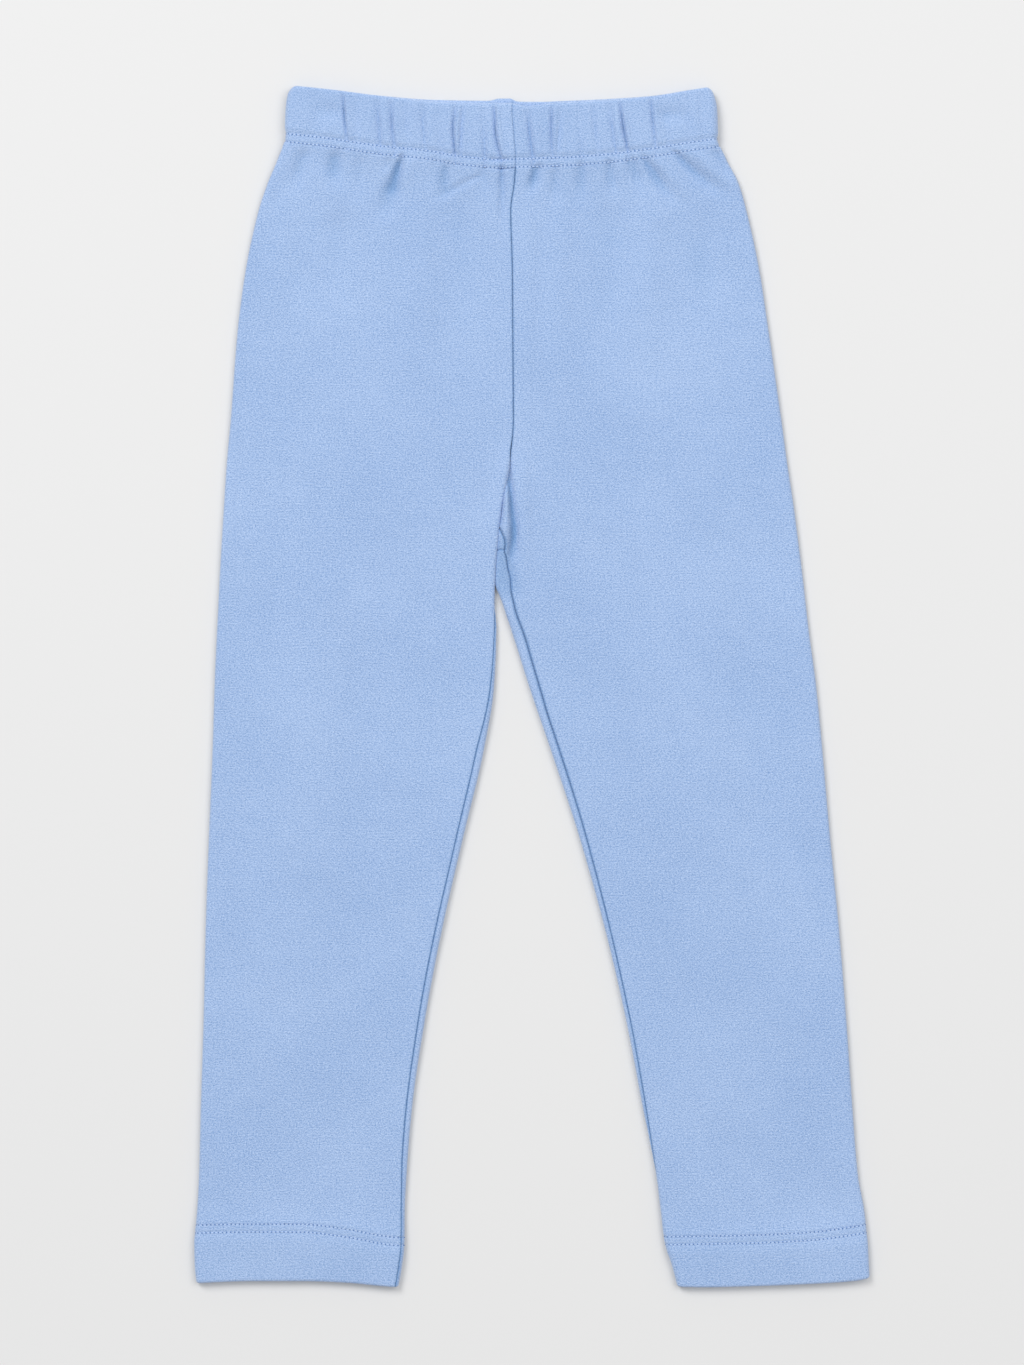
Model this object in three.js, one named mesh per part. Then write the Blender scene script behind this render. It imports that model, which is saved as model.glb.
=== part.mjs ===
// Child's pull-on leggings in cotton interlock, laid flat on a table with the front up.
// Millimetres. X runs to the right across the front, Y up towards the waist and Z up off the table.
// The origin is on the table, under the middle of the whole outline.
// Right and left are the wearer's own, so the right leg lies on the side of minus X.
import * as THREE from "three";

const { clamp, lerp, smoothstep } = THREE.MathUtils;

// Driving sizes of the cloth
const CLOTH = 1.2; // one layer of the soft knit, as it lies
const CASING = 3.2; // two layers with the elastic between them
const HEM = 2.2; // two layers
const SEAM_GAP = 0.3; // between two pieces at a seam
const LAYER_GAP = 0.4; // air between the front and the back
const NEEDLE_GAUGE = 4; // between the two rows of a twin needle

// Heights of the front's outer face over the table, and how far each effect reaches along the cloth
const LEG_HEIGHT = 2 * CLOTH + LAYER_GAP;
const CASING_HEIGHT = 2 * CASING + LAYER_GAP;
const HEM_HEIGHT = 2 * HEM + LAYER_GAP;
const STITCH_SINK = 0.7; // how far the casing is pressed in along its stitching
const EDGE_ROLL = 1; // how much fuller the legs are along a fold than in the middle
const ROLL_REACH = 9;
const WAIST_REACH = 18; // the front falls over this length from the thick casing
const HEM_REACH = 9; // and it rises over this length to the hem
const SEAM_VALLEY = 0.5; // how far the front dips along the centre seam
const VALLEY_REACH = 2.5;

// The crotch: the four seams meet at its point, and the legs part at the notch below it
const CROTCH = 67;
const NOTCH = 51;
const CROTCH_TURN = 14; // over this length the back's seam edge turns up to the front

// How finely each piece is drawn
const FOLD_STEPS = 5;
const LEG_ACROSS = 18;
const BACK_ACROSS = 5;
const RISE_ROWS = 15;
const LEG_ROWS = 18;
const RISE_EASE = 1.25; // the rise's rows are this much closer under the gathers than at the crotch
const PASSES = 5; // over a size that depends on itself, such as a fold's radius
const CLOSED = 1e-3;

// Outline of the garment, and the centre seam down to the notch, where the inner edges part
const OUTLINE = [
  { y: 294.5, rightSide: -116.5, rightInner: -9.4, leftInner: -9.4, leftSide: 86 },
  { y: 290, rightSide: -119.6, rightInner: -9.6, leftInner: -9.6, leftSide: 89 },
  { y: 283, rightSide: -120.7, rightInner: -9.7, leftInner: -9.7, leftSide: 90.7 },
  { y: 268, rightSide: -121.4, rightInner: -8.6, leftInner: -8.6, leftSide: 91.4 },
  { y: 258, rightSide: -124.7, rightInner: -8, leftInner: -8, leftSide: 95.3 },
  { y: 247, rightSide: -129.3, rightInner: -8.6, leftInner: -8.6, leftSide: 101 },
  { y: 233, rightSide: -134, rightInner: -10.4, leftInner: -10.4, leftSide: 105.1 },
  { y: 204, rightSide: -140.3, rightInner: -9.6, leftInner: -9.6, leftSide: 111.4 },
  { y: 174, rightSide: -144.3, rightInner: -9.4, leftInner: -9.4, leftSide: 116 },
  { y: 130, rightSide: -147.7, rightInner: -9.1, leftInner: -9.1, leftSide: 122.3 },
  { y: 108, rightSide: -149.7, rightInner: -11.5, leftInner: -11.5, leftSide: 125.3 },
  { y: 88, rightSide: -151, rightInner: -15.6, leftInner: -15.6, leftSide: 128.3 },
  { y: 67, rightSide: -152.3, rightInner: -17.5, leftInner: -17.5, leftSide: 131 },
  { y: 51, rightSide: -153.2, rightInner: -18.2, leftInner: -18.2, leftSide: 133 },
  { y: 42, rightSide: -153.6, rightInner: -18.4, leftInner: -15, leftSide: 134 },
  { y: 27, rightSide: -154.4, rightInner: -17.5, leftInner: -10, leftSide: 135.7 },
  { y: 0, rightSide: -155.6, rightInner: -18.7, leftInner: -1.4, leftSide: 139.3 },
  { y: -32, rightSide: -156.6, rightInner: -23.8, leftInner: 9.5, leftSide: 142.4 },
  { y: -75, rightSide: -158.4, rightInner: -34, leftInner: 23.6, leftSide: 146.2 },
  { y: -120, rightSide: -160, rightInner: -44.3, leftInner: 36.1, leftSide: 150.6 },
  { y: -164, rightSide: -161, rightInner: -52.6, leftInner: 46.3, leftSide: 154.1 },
  { y: -208, rightSide: -162.4, rightInner: -59, leftInner: 54.7, leftSide: 157.2 },
  { y: -240, rightSide: -163.2, rightInner: -61.6, leftInner: 61, leftSide: 159.8 },
  { y: -258, rightSide: -164.2, rightInner: -62.5, leftInner: 63.3, leftSide: 163 },
  { y: -272, rightSide: -165.4, rightInner: -62.6, leftInner: 65, leftSide: 164.4 },
  { y: -284, rightSide: -164.4, rightInner: -64, leftInner: 69, leftSide: 165 },
  { y: -294.5, rightSide: -162.4, rightInner: -65.8, leftInner: 71.8, leftSide: 165.4 },
];

// Along the waist: the back's top edge, how much lower the front's lies, and the upper stitch row
const WAIST = [
  { x: -121, top: 294.4, dip: 0, stitch: 270.4 },
  { x: -99, top: 292.2, dip: 0.1, stitch: 267.9 },
  { x: -74, top: 289.4, dip: 0.5, stitch: 264.2 },
  { x: -50, top: 287.4, dip: 1.4, stitch: 261.8 },
  { x: -20, top: 287, dip: 2.2, stitch: 257.8 },
  { x: 8, top: 286.4, dip: 2.2, stitch: 258.3 },
  { x: 34, top: 287.6, dip: 1.4, stitch: 259.9 },
  { x: 58, top: 289.2, dip: 0.5, stitch: 262.9 },
  { x: 78, top: 292, dip: 0.1, stitch: 266.1 },
  { x: 92, top: 294, dip: 0, stitch: 268 },
];

// Along the hems: the upper stitch row and the turned edge
const HEMS = [
  { x: -165, stitch: -264, edge: -292.6 },
  { x: -138, stitch: -263.4, edge: -291.6 },
  { x: -112, stitch: -263.5, edge: -291.6 },
  { x: -92, stitch: -265.7, edge: -292.3 },
  { x: -64, stitch: -270, edge: -294.5 },
  { x: 66, stitch: -269.6, edge: -294.3 },
  { x: 84, stitch: -269.3, edge: -294.6 },
  { x: 107, stitch: -268.9, edge: -294.1 },
  { x: 138, stitch: -267.3, edge: -292.9 },
  { x: 158, stitch: -264.7, edge: -291.5 },
  { x: 166, stitch: -263.4, edge: -290 },
];

const CENTRE_SEAM = -9; // where the centre front seam crosses the casing

// Gathers of the casing: where each valley lies near the top and at the stitching, and its depth
const GATHERS = [
  { top: -106, foot: -109, depth: 0.4 },
  { top: -93.3, foot: -89, depth: 1.3 },
  { top: -85.5, foot: -83.5, depth: 0.6 },
  { top: -76.4, foot: -74.8, depth: 0.7 },
  { top: -69.8, foot: -66.9, depth: 1.3 },
  { top: -63.2, foot: -59.5, depth: 0.9 },
  { top: -53.7, foot: -51.9, depth: 0.6 },
  { top: -45.3, foot: -44.3, depth: 0.5 },
  { top: -38.5, foot: -38.2, depth: 1.3 },
  { top: -32.1, foot: -33.8, depth: 0.7 },
  { top: -24, foot: -23, depth: 0.7 },
  { top: -18, foot: -15.4, depth: 1.6 },
  { top: -1.4, foot: 0.7, depth: 1 },
  { top: 9.1, foot: 9.6, depth: 1.2 },
  { top: 22.5, foot: 25, depth: 0.5 },
  { top: 29.9, foot: 33.6, depth: 0.6 },
  { top: 38, foot: 43.2, depth: 1 },
  { top: 43.6, foot: 51.2, depth: 1.6 },
  { top: 56, foot: 61, depth: 1.2 },
  { top: 61.7, foot: 66.4, depth: 0.5 },
  { top: 70.3, foot: 71.5, depth: 0.5 },
  { top: 76, foot: 78.5, depth: 0.8 },
  { top: 83, foot: 84.5, depth: 0.4 },
];

// Soft folds of the front: each runs from a head to a foot, and is a trough unless its depth is negative
const FOLD_GROWS = 0.15;
const FOLD_FADES = 0.4;
const FOLDS = [
  { headX: -109, headY: 262, footX: -115, footY: 236, half: 5, depth: 0.5 },
  { headX: -94, headY: 262, footX: -97, footY: 178, half: 5, depth: 0.6 },
  { headX: -64.5, headY: 260, footX: -71, footY: 236, half: 4, depth: 1.5 },
  { headX: -42, headY: 256, footX: -43, footY: 228, half: 4, depth: 0.7 },
  { headX: -16, headY: 253, footX: -15, footY: 215, half: 3, depth: 0.8 },
  { headX: 4, headY: 254, footX: 1, footY: 214, half: 4, depth: 0.8 },
  { headX: 23, headY: 255, footX: 25, footY: 222, half: 4, depth: 0.6 },
  { headX: 38, headY: 256, footX: 42, footY: 226, half: 4, depth: 0.6 },
  { headX: 54, headY: 259, footX: 73, footY: 233, half: 4, depth: 1.3 },
  { headX: 72, headY: 262, footX: 98, footY: 238, half: 4, depth: 1.1 },
  { headX: -55, headY: 245, footX: -53, footY: 130, half: 8, depth: -0.4 },
  { headX: 60, headY: 240, footX: 56, footY: 160, half: 9, depth: -0.5 },
  { headX: 0, headY: 225, footX: 0, footY: 120, half: 5, depth: -0.4 },
  { headX: -110, headY: 60, footX: -120, footY: -180, half: 13, depth: -0.4 },
  { headX: 70, headY: 40, footX: 108, footY: -190, half: 14, depth: -0.4 },
];

// The casing and the hem down their depth: how far the outer face stands in, the wall from there,
// how far the front sinks along the stitching, and the share of the gathers that shows
const CASING_PROFILE = [
  { down: 0, inset: 1.2, wall: 0.8, sink: 0, gather: 0 },
  { down: 0.03, inset: 0.4, wall: 2.4, sink: 0, gather: 0.3 },
  { down: 0.12, inset: 0, wall: CASING, sink: 0, gather: 0.8 },
  { down: 0.42, inset: 0, wall: CASING, sink: 0, gather: 1 },
  { down: 0.76, inset: 0, wall: CASING, sink: 0.1, gather: 1 },
  { down: 0.87, inset: 0, wall: CASING, sink: STITCH_SINK, gather: 0.6 },
  { down: 1, inset: 0, wall: CASING, sink: STITCH_SINK, gather: 0.5 },
];
const HEM_PROFILE = [
  { down: 0, inset: 0, wall: HEM, sink: 0.3, gather: 0 },
  { down: 0.17, inset: 0, wall: HEM, sink: 0.3, gather: 0 },
  { down: 0.3, inset: 0, wall: HEM, sink: 0, gather: 0 },
  { down: 0.93, inset: 0, wall: HEM, sink: 0, gather: 0 },
  { down: 0.98, inset: 0.3, wall: 1.6, sink: 0, gather: 0 },
  { down: 1, inset: 0.8, wall: 0.6, sink: 0, gather: 0 },
];
const LEG_PROFILE = { inset: 0, wall: CLOTH, sink: 0, gather: 0 };

const CLOTH_LOOK = { color: 0xa7c1e5, roughness: 0.95, metalness: 0 };

// A smooth curve through one named column of a table against another, which never overshoots a row
function curve(table, from, to) {
  const rows = [...table].sort((a, b) => a[from] - b[from]);
  const slopes = rows.slice(1).map((row, i) => (row[to] - rows[i][to]) / (row[from] - rows[i][from]));
  const tangents = rows.map((row, i) => {
    const before = slopes[Math.max(i - 1, 0)];
    const after = slopes[Math.min(i, slopes.length - 1)];
    return before * after > 0 ? (2 * before * after) / (before + after) : 0;
  });
  return (value) => {
    const at = clamp(value, rows[0][from], rows.at(-1)[from]);
    const i = Math.max(rows.findIndex((row) => row[from] >= at) - 1, 0);
    const span = rows[i + 1][from] - rows[i][from];
    const t = (at - rows[i][from]) / span;
    const rise = rows[i + 1][to] - rows[i][to];
    const start = tangents[i] * span;
    const end = tangents[i + 1] * span;
    return rows[i][to] + t * (start + t * (3 * rise - 2 * start - end + t * (start + end - 2 * rise)));
  };
}

// One half of the garment: which way its side lies, its outline, and its gathers from the seam outwards
function half(out, sideColumn, innerColumn) {
  return {
    out,
    side: curve(OUTLINE, "y", sideColumn),
    inner: curve(OUTLINE, "y", innerColumn),
    gathers: GATHERS.filter((gather) => (gather.top - CENTRE_SEAM) * out > 0).sort((a, b) => (a.top - b.top) * out),
  };
}
const right = half(-1, "rightSide", "rightInner");
const left = half(1, "leftSide", "leftInner");

const waistTop = curve(WAIST, "x", "top");
const waistDip = curve(WAIST, "x", "dip");
const waistStitch = curve(WAIST, "x", "stitch");
const hemStitch = curve(HEMS, "x", "stitch");
const hemEdge = curve(HEMS, "x", "edge");

// The lines where one piece ends and the next begins; front is 1 on the front and 0 on the back
const casingTop = (x, front) => waistTop(x) - front * waistDip(x);
const casingFoot = (x, front) => waistStitch(x) + (1 - front) * waistDip(x) - NEEDLE_GAUGE;
const legTop = (x, front) => casingFoot(x, front) - SEAM_GAP;
const crotch = () => CROTCH;
const legFoot = (x) => hemStitch(x) + SEAM_GAP;

// How much of the inner edge is folded at a height: none along the centre seam, all below the crotch
function turnAt(y) {
  return 1 - smoothstep(y, CROTCH, CROTCH + CROTCH_TURN);
}

// How far the soft folds press the front in at a point
function foldDepth(x, y) {
  let depth = 0;
  for (const fold of FOLDS) {
    const along = (fold.headY - y) / (fold.headY - fold.footY);
    const off = x - lerp(fold.headX, fold.footX, along);
    const shown = smoothstep(along, -FOLD_GROWS, FOLD_GROWS) * (1 - smoothstep(along, FOLD_FADES, 1));
    depth += fold.depth * shown * Math.exp(-((off / fold.half) ** 2));
  }
  return depth;
}

// Height of a leg's outer front face over the table
function legHeight(side, x, y) {
  const toSide = Math.abs(side.side(y) - x);
  const toInner = Math.abs(side.inner(y) - x);
  const waist = Math.exp(-Math.max(legTop(x, 1) - y, 0) / WAIST_REACH);
  const hem = Math.exp(-Math.max(y - legFoot(x), 0) / HEM_REACH);
  const turn = turnAt(y);
  const free = (1 - waist) * (1 - hem);
  const roll = EDGE_ROLL * (Math.exp(-toSide / ROLL_REACH) + turn * Math.exp(-toInner / ROLL_REACH));
  const valley = SEAM_VALLEY * (1 - turn) * Math.exp(-toInner / VALLEY_REACH);
  const lift = waist * (CASING_HEIGHT - STITCH_SINK - LEG_HEIGHT) + hem * (HEM_HEIGHT - LEG_HEIGHT);
  return LEG_HEIGHT + lift + free * (roll - valley) - foldDepth(x, y);
}

// Radius of a fold that rises from the table to the front's height above the fold's own centre
function foldRadius(edge, inwards, y, heightAt) {
  let radius = heightAt(edge, y) / 2;
  for (let pass = 0; pass < PASSES; pass++) radius = heightAt(edge + inwards * radius, y) / 2;
  return radius;
}

// One ring of a flattened tube at a height y, as points of its outer face with their normals:
// over the front from the centre seam or inner fold, round the side fold, back under, and,
// as far as the inner edge is turned, round the inner fold to where the ring began.
// The front's points lie at shares of its width, or at given places along X.
function flatRing(side, y, heightAt, { shares = [], places = [] }) {
  const turn = turnAt(y);
  const edge = side.side(y);
  const seamEdge = side.inner(y) + side.out * (y > NOTCH ? SEAM_GAP / 2 : 0);
  const sideRadius = foldRadius(edge, -side.out, y, heightAt);
  const innerRadius = foldRadius(seamEdge, side.out, y, heightAt);
  const sideCentre = edge - side.out * sideRadius;
  const innerCentre = seamEdge + side.out * innerRadius * turn;
  const ring = [];
  const add = (x, z, nx, nz, front) => ring.push({ x, z, nx, nz, front });

  const middles = places.map((place, i) => ((places[i - 1] ?? innerCentre) + place) / 2);
  const given = places.flatMap((place, i) => [middles[i], place]);
  const between = places.length ? [...given, (given.at(-1) + sideCentre) / 2] : [];
  const spaced = shares.map((share) => lerp(innerCentre, sideCentre, share));
  for (const x of [innerCentre, ...between, ...spaced, sideCentre]) add(x, heightAt(x, y), 0, 1, 1);

  for (let step = 1; step < FOLD_STEPS; step++) {
    const angle = Math.PI * (0.5 - step / FOLD_STEPS);
    const nx = side.out * Math.cos(angle);
    const nz = Math.sin(angle);
    add(sideCentre + sideRadius * nx, sideRadius * (1 + nz), nx, nz, (1 + nz) / 2);
  }

  const flatEnd = innerCentre + side.out * innerRadius * (1 - turn);
  for (let step = 0; step <= BACK_ACROSS; step++) {
    add(lerp(sideCentre, flatEnd, step / BACK_ACROSS), 0, 0, -1, 0);
  }

  for (let step = 1; step <= FOLD_STEPS; step++) {
    const angle = Math.PI * (step / FOLD_STEPS - 0.5);
    const flatX = lerp(flatEnd, seamEdge, step / FOLD_STEPS);
    const foldX = innerCentre - side.out * innerRadius * Math.cos(angle);
    const risen = turn * (1 + Math.sin(angle));
    const normal = new THREE.Vector2(-side.out * turn * Math.cos(angle), lerp(-1, Math.sin(angle), turn)).normalize();
    add(lerp(flatX, foldX, turn), innerRadius * risen, normal.x, normal.y, risen / 2);
  }
  return ring;
}

// A ring whose points lie on a line across the garment, such as a stitch row, and not at one height
function ringAlong(line, ringAt, middle) {
  const level = ringAt(line(middle, 1));
  return level.map((start, column) => {
    let point = start;
    let y = line(start.x, start.front);
    for (let pass = 0; pass < PASSES; pass++) {
      point = ringAt(y)[column];
      y = line(point.x, point.front);
    }
    return { ...point, y };
  });
}

// A ring's points on the wall's outer and inner face; only the front's outer face takes the gathers
function faces(ring, profile, gathers = []) {
  const deep = profile.inset + profile.wall;
  const pressed = (point, column) => profile.sink * point.front + profile.gather * (gathers[column] ?? 0);
  return {
    outer: ring.map((point, column) => {
      const { x, y, z, nx, nz } = point;
      return [x - profile.inset * nx, y, z - profile.inset * nz - pressed(point, column)];
    }),
    inner: ring.map(({ x, y, z, nx, nz }) => [x - deep * nx, y, z - deep * nz]),
  };
}

// Closed wall between the outer and the inner faces of rows that run from the top to the foot.
// Where rows end at the point where they began the wall is a tube, and needs no cap along its seam.
function wall(name, side, rows) {
  const columns = rows[0].outer.length;
  const last = columns - 1;
  const foot = rows.length - 1;
  const index = [];
  const outerAt = (row, column) => row * columns + column;
  const innerAt = (row, column) => (rows.length + row) * columns + column;
  const quad = (a, b, c, d) => index.push(...(side.out < 0 ? [a, c, b, a, d, c] : [a, b, c, a, c, d]));
  const joins = (a, b) => Math.hypot(a[0] - b[0], a[1] - b[1], a[2] - b[2]) < CLOSED;
  const tube = rows.map(({ outer }) => joins(outer[0], outer[last]));
  for (let row = 1; row <= foot; row++) {
    const up = row - 1;
    for (let column = 1; column < columns; column++) {
      const before = column - 1;
      quad(outerAt(up, before), outerAt(row, before), outerAt(row, column), outerAt(up, column));
      quad(innerAt(up, column), innerAt(row, column), innerAt(row, before), innerAt(up, before));
    }
    if (tube[up] && tube[row]) continue;
    quad(outerAt(up, 0), innerAt(up, 0), innerAt(row, 0), outerAt(row, 0));
    quad(outerAt(row, last), innerAt(row, last), innerAt(up, last), outerAt(up, last));
  }
  for (let column = 1; column < columns; column++) {
    const before = column - 1;
    quad(outerAt(0, column), innerAt(0, column), innerAt(0, before), outerAt(0, before));
    quad(outerAt(foot, before), innerAt(foot, before), innerAt(foot, column), outerAt(foot, column));
  }
  const points = [...rows.map(({ outer }) => outer), ...rows.map(({ inner }) => inner)].flat(2);
  const geometry = new THREE.BufferGeometry();
  geometry.setAttribute("position", new THREE.Float32BufferAttribute(points, 3));
  geometry.setIndex(index);
  geometry.computeVertexNormals();
  const mesh = new THREE.Mesh(geometry, new THREE.MeshStandardMaterial(CLOTH_LOOK));
  mesh.name = name;
  return mesh;
}

const LEG_SHARES = Array.from({ length: LEG_ACROSS - 1 }, (_, i) => (i + 1) / LEG_ACROSS);
const middleOf = (side, y) => (side.side(y) + side.inner(y)) / 2;

// A leg: its rise from the casing to the crotch is open at the centre seam, and the rest is a tube
function leg(name, side) {
  const heightAt = (x, y) => legHeight(side, x, y);
  const ringAt = (y) => flatRing(side, y, heightAt, { shares: LEG_SHARES });
  const rowBetween = (start, end, share) => {
    const line = (x, front) => lerp(start(x, front), end(x, front), share);
    return faces(ringAlong(line, ringAt, middleOf(side, CROTCH)), LEG_PROFILE);
  };
  const rows = [];
  for (let row = 0; row < RISE_ROWS; row++) rows.push(rowBetween(legTop, crotch, (row / RISE_ROWS) ** RISE_EASE));
  for (let row = 0; row <= LEG_ROWS; row++) rows.push(rowBetween(crotch, legFoot, row / LEG_ROWS));
  return wall(name, side, rows);
}

// Half of the waist casing, from the centre front seam round the side fold to the centre back.
// The front has a column of points along each gather's valley and one along each ridge between them.
function waistCasing(name, side) {
  const depths = [0, ...side.gathers.flatMap((gather) => [0, gather.depth])];
  const rows = CASING_PROFILE.map((profile) => {
    const places = side.gathers.map((gather) => lerp(gather.top, gather.foot, profile.down));
    const ringAt = (y) => flatRing(side, y, () => CASING_HEIGHT, { places });
    const line = (x, front) => lerp(casingTop(x, front), casingFoot(x, front), profile.down);
    return faces(ringAlong(line, ringAt, middleOf(side, casingTop(CENTRE_SEAM, 1))), profile, depths);
  });
  return wall(name, side, rows);
}

// A turned hem: a flattened ring of doubled cloth round the foot of a leg
function hem(name, side) {
  const ringAt = (y) => flatRing(side, y, () => HEM_HEIGHT, { shares: LEG_SHARES });
  const rows = HEM_PROFILE.map((profile) => {
    const line = (x) => lerp(hemStitch(x), hemEdge(x), profile.down);
    return faces(ringAlong(line, ringAt, middleOf(side, HEMS[0].stitch)), profile);
  });
  return wall(name, side, rows);
}

const leggings = new THREE.Group();
leggings.add(leg("right_leg", right), leg("left_leg", left));
leggings.add(waistCasing("right_waist_casing", right), waistCasing("left_waist_casing", left));
leggings.add(hem("right_hem", right), hem("left_hem", left));

export default leggings;
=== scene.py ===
"""A child's cotton interlock leggings, laid flat with the front up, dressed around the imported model.

Lengths are in millimetres until a mesh is placed. X runs across the front from the wearer's right
to their left, Y up to the waist and Z up off the surface, as in the model's own frame.
"""

import logging
import math
from dataclasses import dataclass, field, replace
from enum import Enum
from typing import Any, Callable, Iterable, NamedTuple, Sequence

import bpy
import numpy as np
from mathutils import Matrix, Vector


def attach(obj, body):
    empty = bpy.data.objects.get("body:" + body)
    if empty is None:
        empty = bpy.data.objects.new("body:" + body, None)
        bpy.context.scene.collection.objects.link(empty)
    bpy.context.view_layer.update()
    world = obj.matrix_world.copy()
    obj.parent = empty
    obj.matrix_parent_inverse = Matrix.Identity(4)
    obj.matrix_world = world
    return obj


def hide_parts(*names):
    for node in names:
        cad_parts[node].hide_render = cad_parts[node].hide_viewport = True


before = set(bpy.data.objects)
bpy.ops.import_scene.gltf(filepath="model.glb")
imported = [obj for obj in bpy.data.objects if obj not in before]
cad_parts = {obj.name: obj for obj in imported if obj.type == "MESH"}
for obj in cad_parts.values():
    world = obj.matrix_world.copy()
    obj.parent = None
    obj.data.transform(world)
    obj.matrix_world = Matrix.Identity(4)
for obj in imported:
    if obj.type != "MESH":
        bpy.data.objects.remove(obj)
log = logging.getLogger("leggings")

MM = 0.001  # metres in a millimetre

# Names of what a sheet or a thread carries
PLACE = "place"  # a sheet's own attribute while it is made: which point of its face a vertex is
PAINTED_SHADE_ATTR = "deep"  # a sheet's attribute for painted shade: 1 at the bottom of a deep fold or a seam and 0 on open cloth
KNIT_MAP = "knit"  # a sheet's own map: where each point lies on the flat cloth, in metres
PAINTED_HOLE_ATTR = "sunk"  # a stitch's attribute for painted shade: 1 in the needle hole and 0 on the thread's crown

# Driving sizes of the cloth
KNIT = 0.9  # one layer of the interlock
LOWEST = 1.3  # the front's outer face, where it is pressed down hard onto the back
LOWEST_EASE = 0.35  # how softly a deep crease bottoms out there
LOWEST_REACH = 3.0  # times that height, over which nothing is held up
HELD_MARGIN = 0.5  # only a face higher than a leg's usual height less this is held up
LEVEL = 0.999  # a normal's part along Z from which a face counts as level
LEG_HEIGHT = 2.8  # the front's outer face over the surface, where two layers lie on each other
CASING = 3.2  # two layers with the elastic between them
CASING_HEIGHT = 6.8
HEM = 2.2  # two layers
HEM_HEIGHT = 4.8
NEEDLE_GAUGE = 4.0  # between the two rows of a twin needle
STITCH = 2.0  # from one needle hole to the next
STITCH_SINK = 0.7  # how far the casing is pressed in along its stitching
STITCH_EASE = (-3.2, -0.4)  # from the first to the second of these past the upper row it sinks so far
BAND_SINK = 0.15  # how much of that is left for the band under the lower row
HEM_SINK = 0.3
HEM_FULLER = 0.05  # how much fuller than that the hem is again past its stitching
HEM_EASE = 5.0  # and over what length
HEM_SAG = 0.2  # share of the creases' depth that a hem shows
ROW_SINK = 0.22  # how much deeper each row of stitches lies
ROW_HALF = 0.7  # half width of that dip
ROW_INSET = 0.15  # how far a row keeps from the edge that it holds down
EDGE_ROLL = 1.0  # how much fuller the legs are along a fold than in the middle
ROLL_REACH = 9.0  # that fades over this length from the fold
WAIST_REACH = 18.0  # the front falls over this length from the thick casing
HEM_REACH = 9.0  # and over this one from the hem
SEAM_GAP = 0.02  # between the two halves along the centre seams
GROOVE = 0.65  # depth and half width of the groove along a seam
CASING_GROOVE = 0.2  # share of that groove which the elastic leaves
CROTCH_GROOVE = 1.7  # how much larger it is below the crotch of the left leg
PILLOW = 0.16  # how much the cloth swells beside a seam
PILLOW_REACH = 1.8  # how far off it swells most
ALLOWANCE = 9.0  # width of the centre seam's allowance, which lies to the right
ALLOWANCE_RISE = 0.45  # how much it lifts the casing
ALLOWANCE_EDGE = 1.2  # over how much width its far edge shows
ALLOWANCE_START = 0.6  # and its near one
TUCK = 0.9  # how far a leg's end runs in under the casing or the hem
# The last rows at a leg's ends: how far past the end each lies, and how far in
LEG_ENDS = ((TUCK, KNIT + 0.1), (0.15, KNIT + 0.05), (0.05, 0.0))
CREASE_CARRY = 6.0  # how far the creases run on up into the casing
GATHER_CARRY = 6.0  # how far the gathers run on down into the leg
BACK_MIRROR = -18.0  # twice the centre seam's place, about which the back's folds mirror the front's
BACK_CREASES = 0.6  # the back's creases, against those of the front

# The crotch: the inner edges part at the notch, and the back's edge turns up to the front over it
CROTCH = 67.0
NOTCH = 51.0
NOTCH_OPENS = 4.0  # the length over which the gap between the halves opens up to the notch
LAP_FOOT = 79.0  # the right half laps fully over the left from here up to where the two meet
LAP_EASE = (77.0, 87.0)  # over these heights the left half comes to dip under it
LAP_DIP = 1.3  # how far it dips
LAP_HALF = 2.5  # and over what width
CROSS_SINK = 0.75  # depth of the seam across the left leg's inner strip, at the crotch
CROSS_DROP = 0.4  # how far it lies under the crotch's level
CROSS_HALF = 0.45
CROSS_EASE = (0.5, 1.5)  # it starts between these distances past the inner fold
CUT_APART = np.array((430.0, 37.0))  # how far apart the two halves lay on the flat cloth
STRIP_LOW = 0.9  # share of its roll that the left leg's inner fold loses there, where it lies in the shade
STRIP_FOOT = (38.0, 50.0)  # the heights between which that begins
STRIP_HEAD = (66.0, 78.0)  # and ends
STRIP_SHADE = 0.42  # share of the painted shade that it takes on there
STRIP_HALF = 4.0  # and the width over which that fades on the front
GROOVE_FOOT = (-140.0, 20.0)  # the heights between which the left leg's groove grows larger
GROOVE_HEAD = (78.0, 92.0)  # and smaller again
PAINTED_FOLD_DEPTHS = (0.5, 3.4)  # between these depths the cloth in a fold takes on its deeper colour, as painted shade
SHADE_SPREAD = 1.3  # how much wider than its trough the painted shade of a fold is
SHADE_SHIFT = 0.7  # how far that painted shade lies towards the steeper flank, on the right half's side, which faces away from the main lamp
FOLD_SHADE = 0.85  # share of that painted shade at the most, against the whole of it in a seam
SEAM_SHADE = 0.5  # half width of the painted shade line along a seam
CASING_SEAM_SHADE = 0.35  # how much of it shows where the elastic stretches the seam
INSEAM_HEAD = 73  # the inseams' edges are sewn together up to here, just over the crotch's point
PASSES = 5  # over a size that depends on itself, such as a fold's radius
TINY = 1e-4  # the radius of a fold that has opened out flat

# How finely the pieces are drawn
NEAR_SEAM = (0.0, 0.06, 0.16, 0.3, 0.5, 0.8, 1.3, 2.0)  # distances of the points beside a seam from it
FOLD_STEPS = 10  # steps round the side fold
FAR = 99.0  # the distance from a seam that counts for points which no seam reaches
CASING_MIDDLE = 275.0  # heights to start from when a line is sought there
HEM_MIDDLE = -280.0
READ_AT = 60.0  # how far out from the middle one is read for a row of stitches


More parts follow.
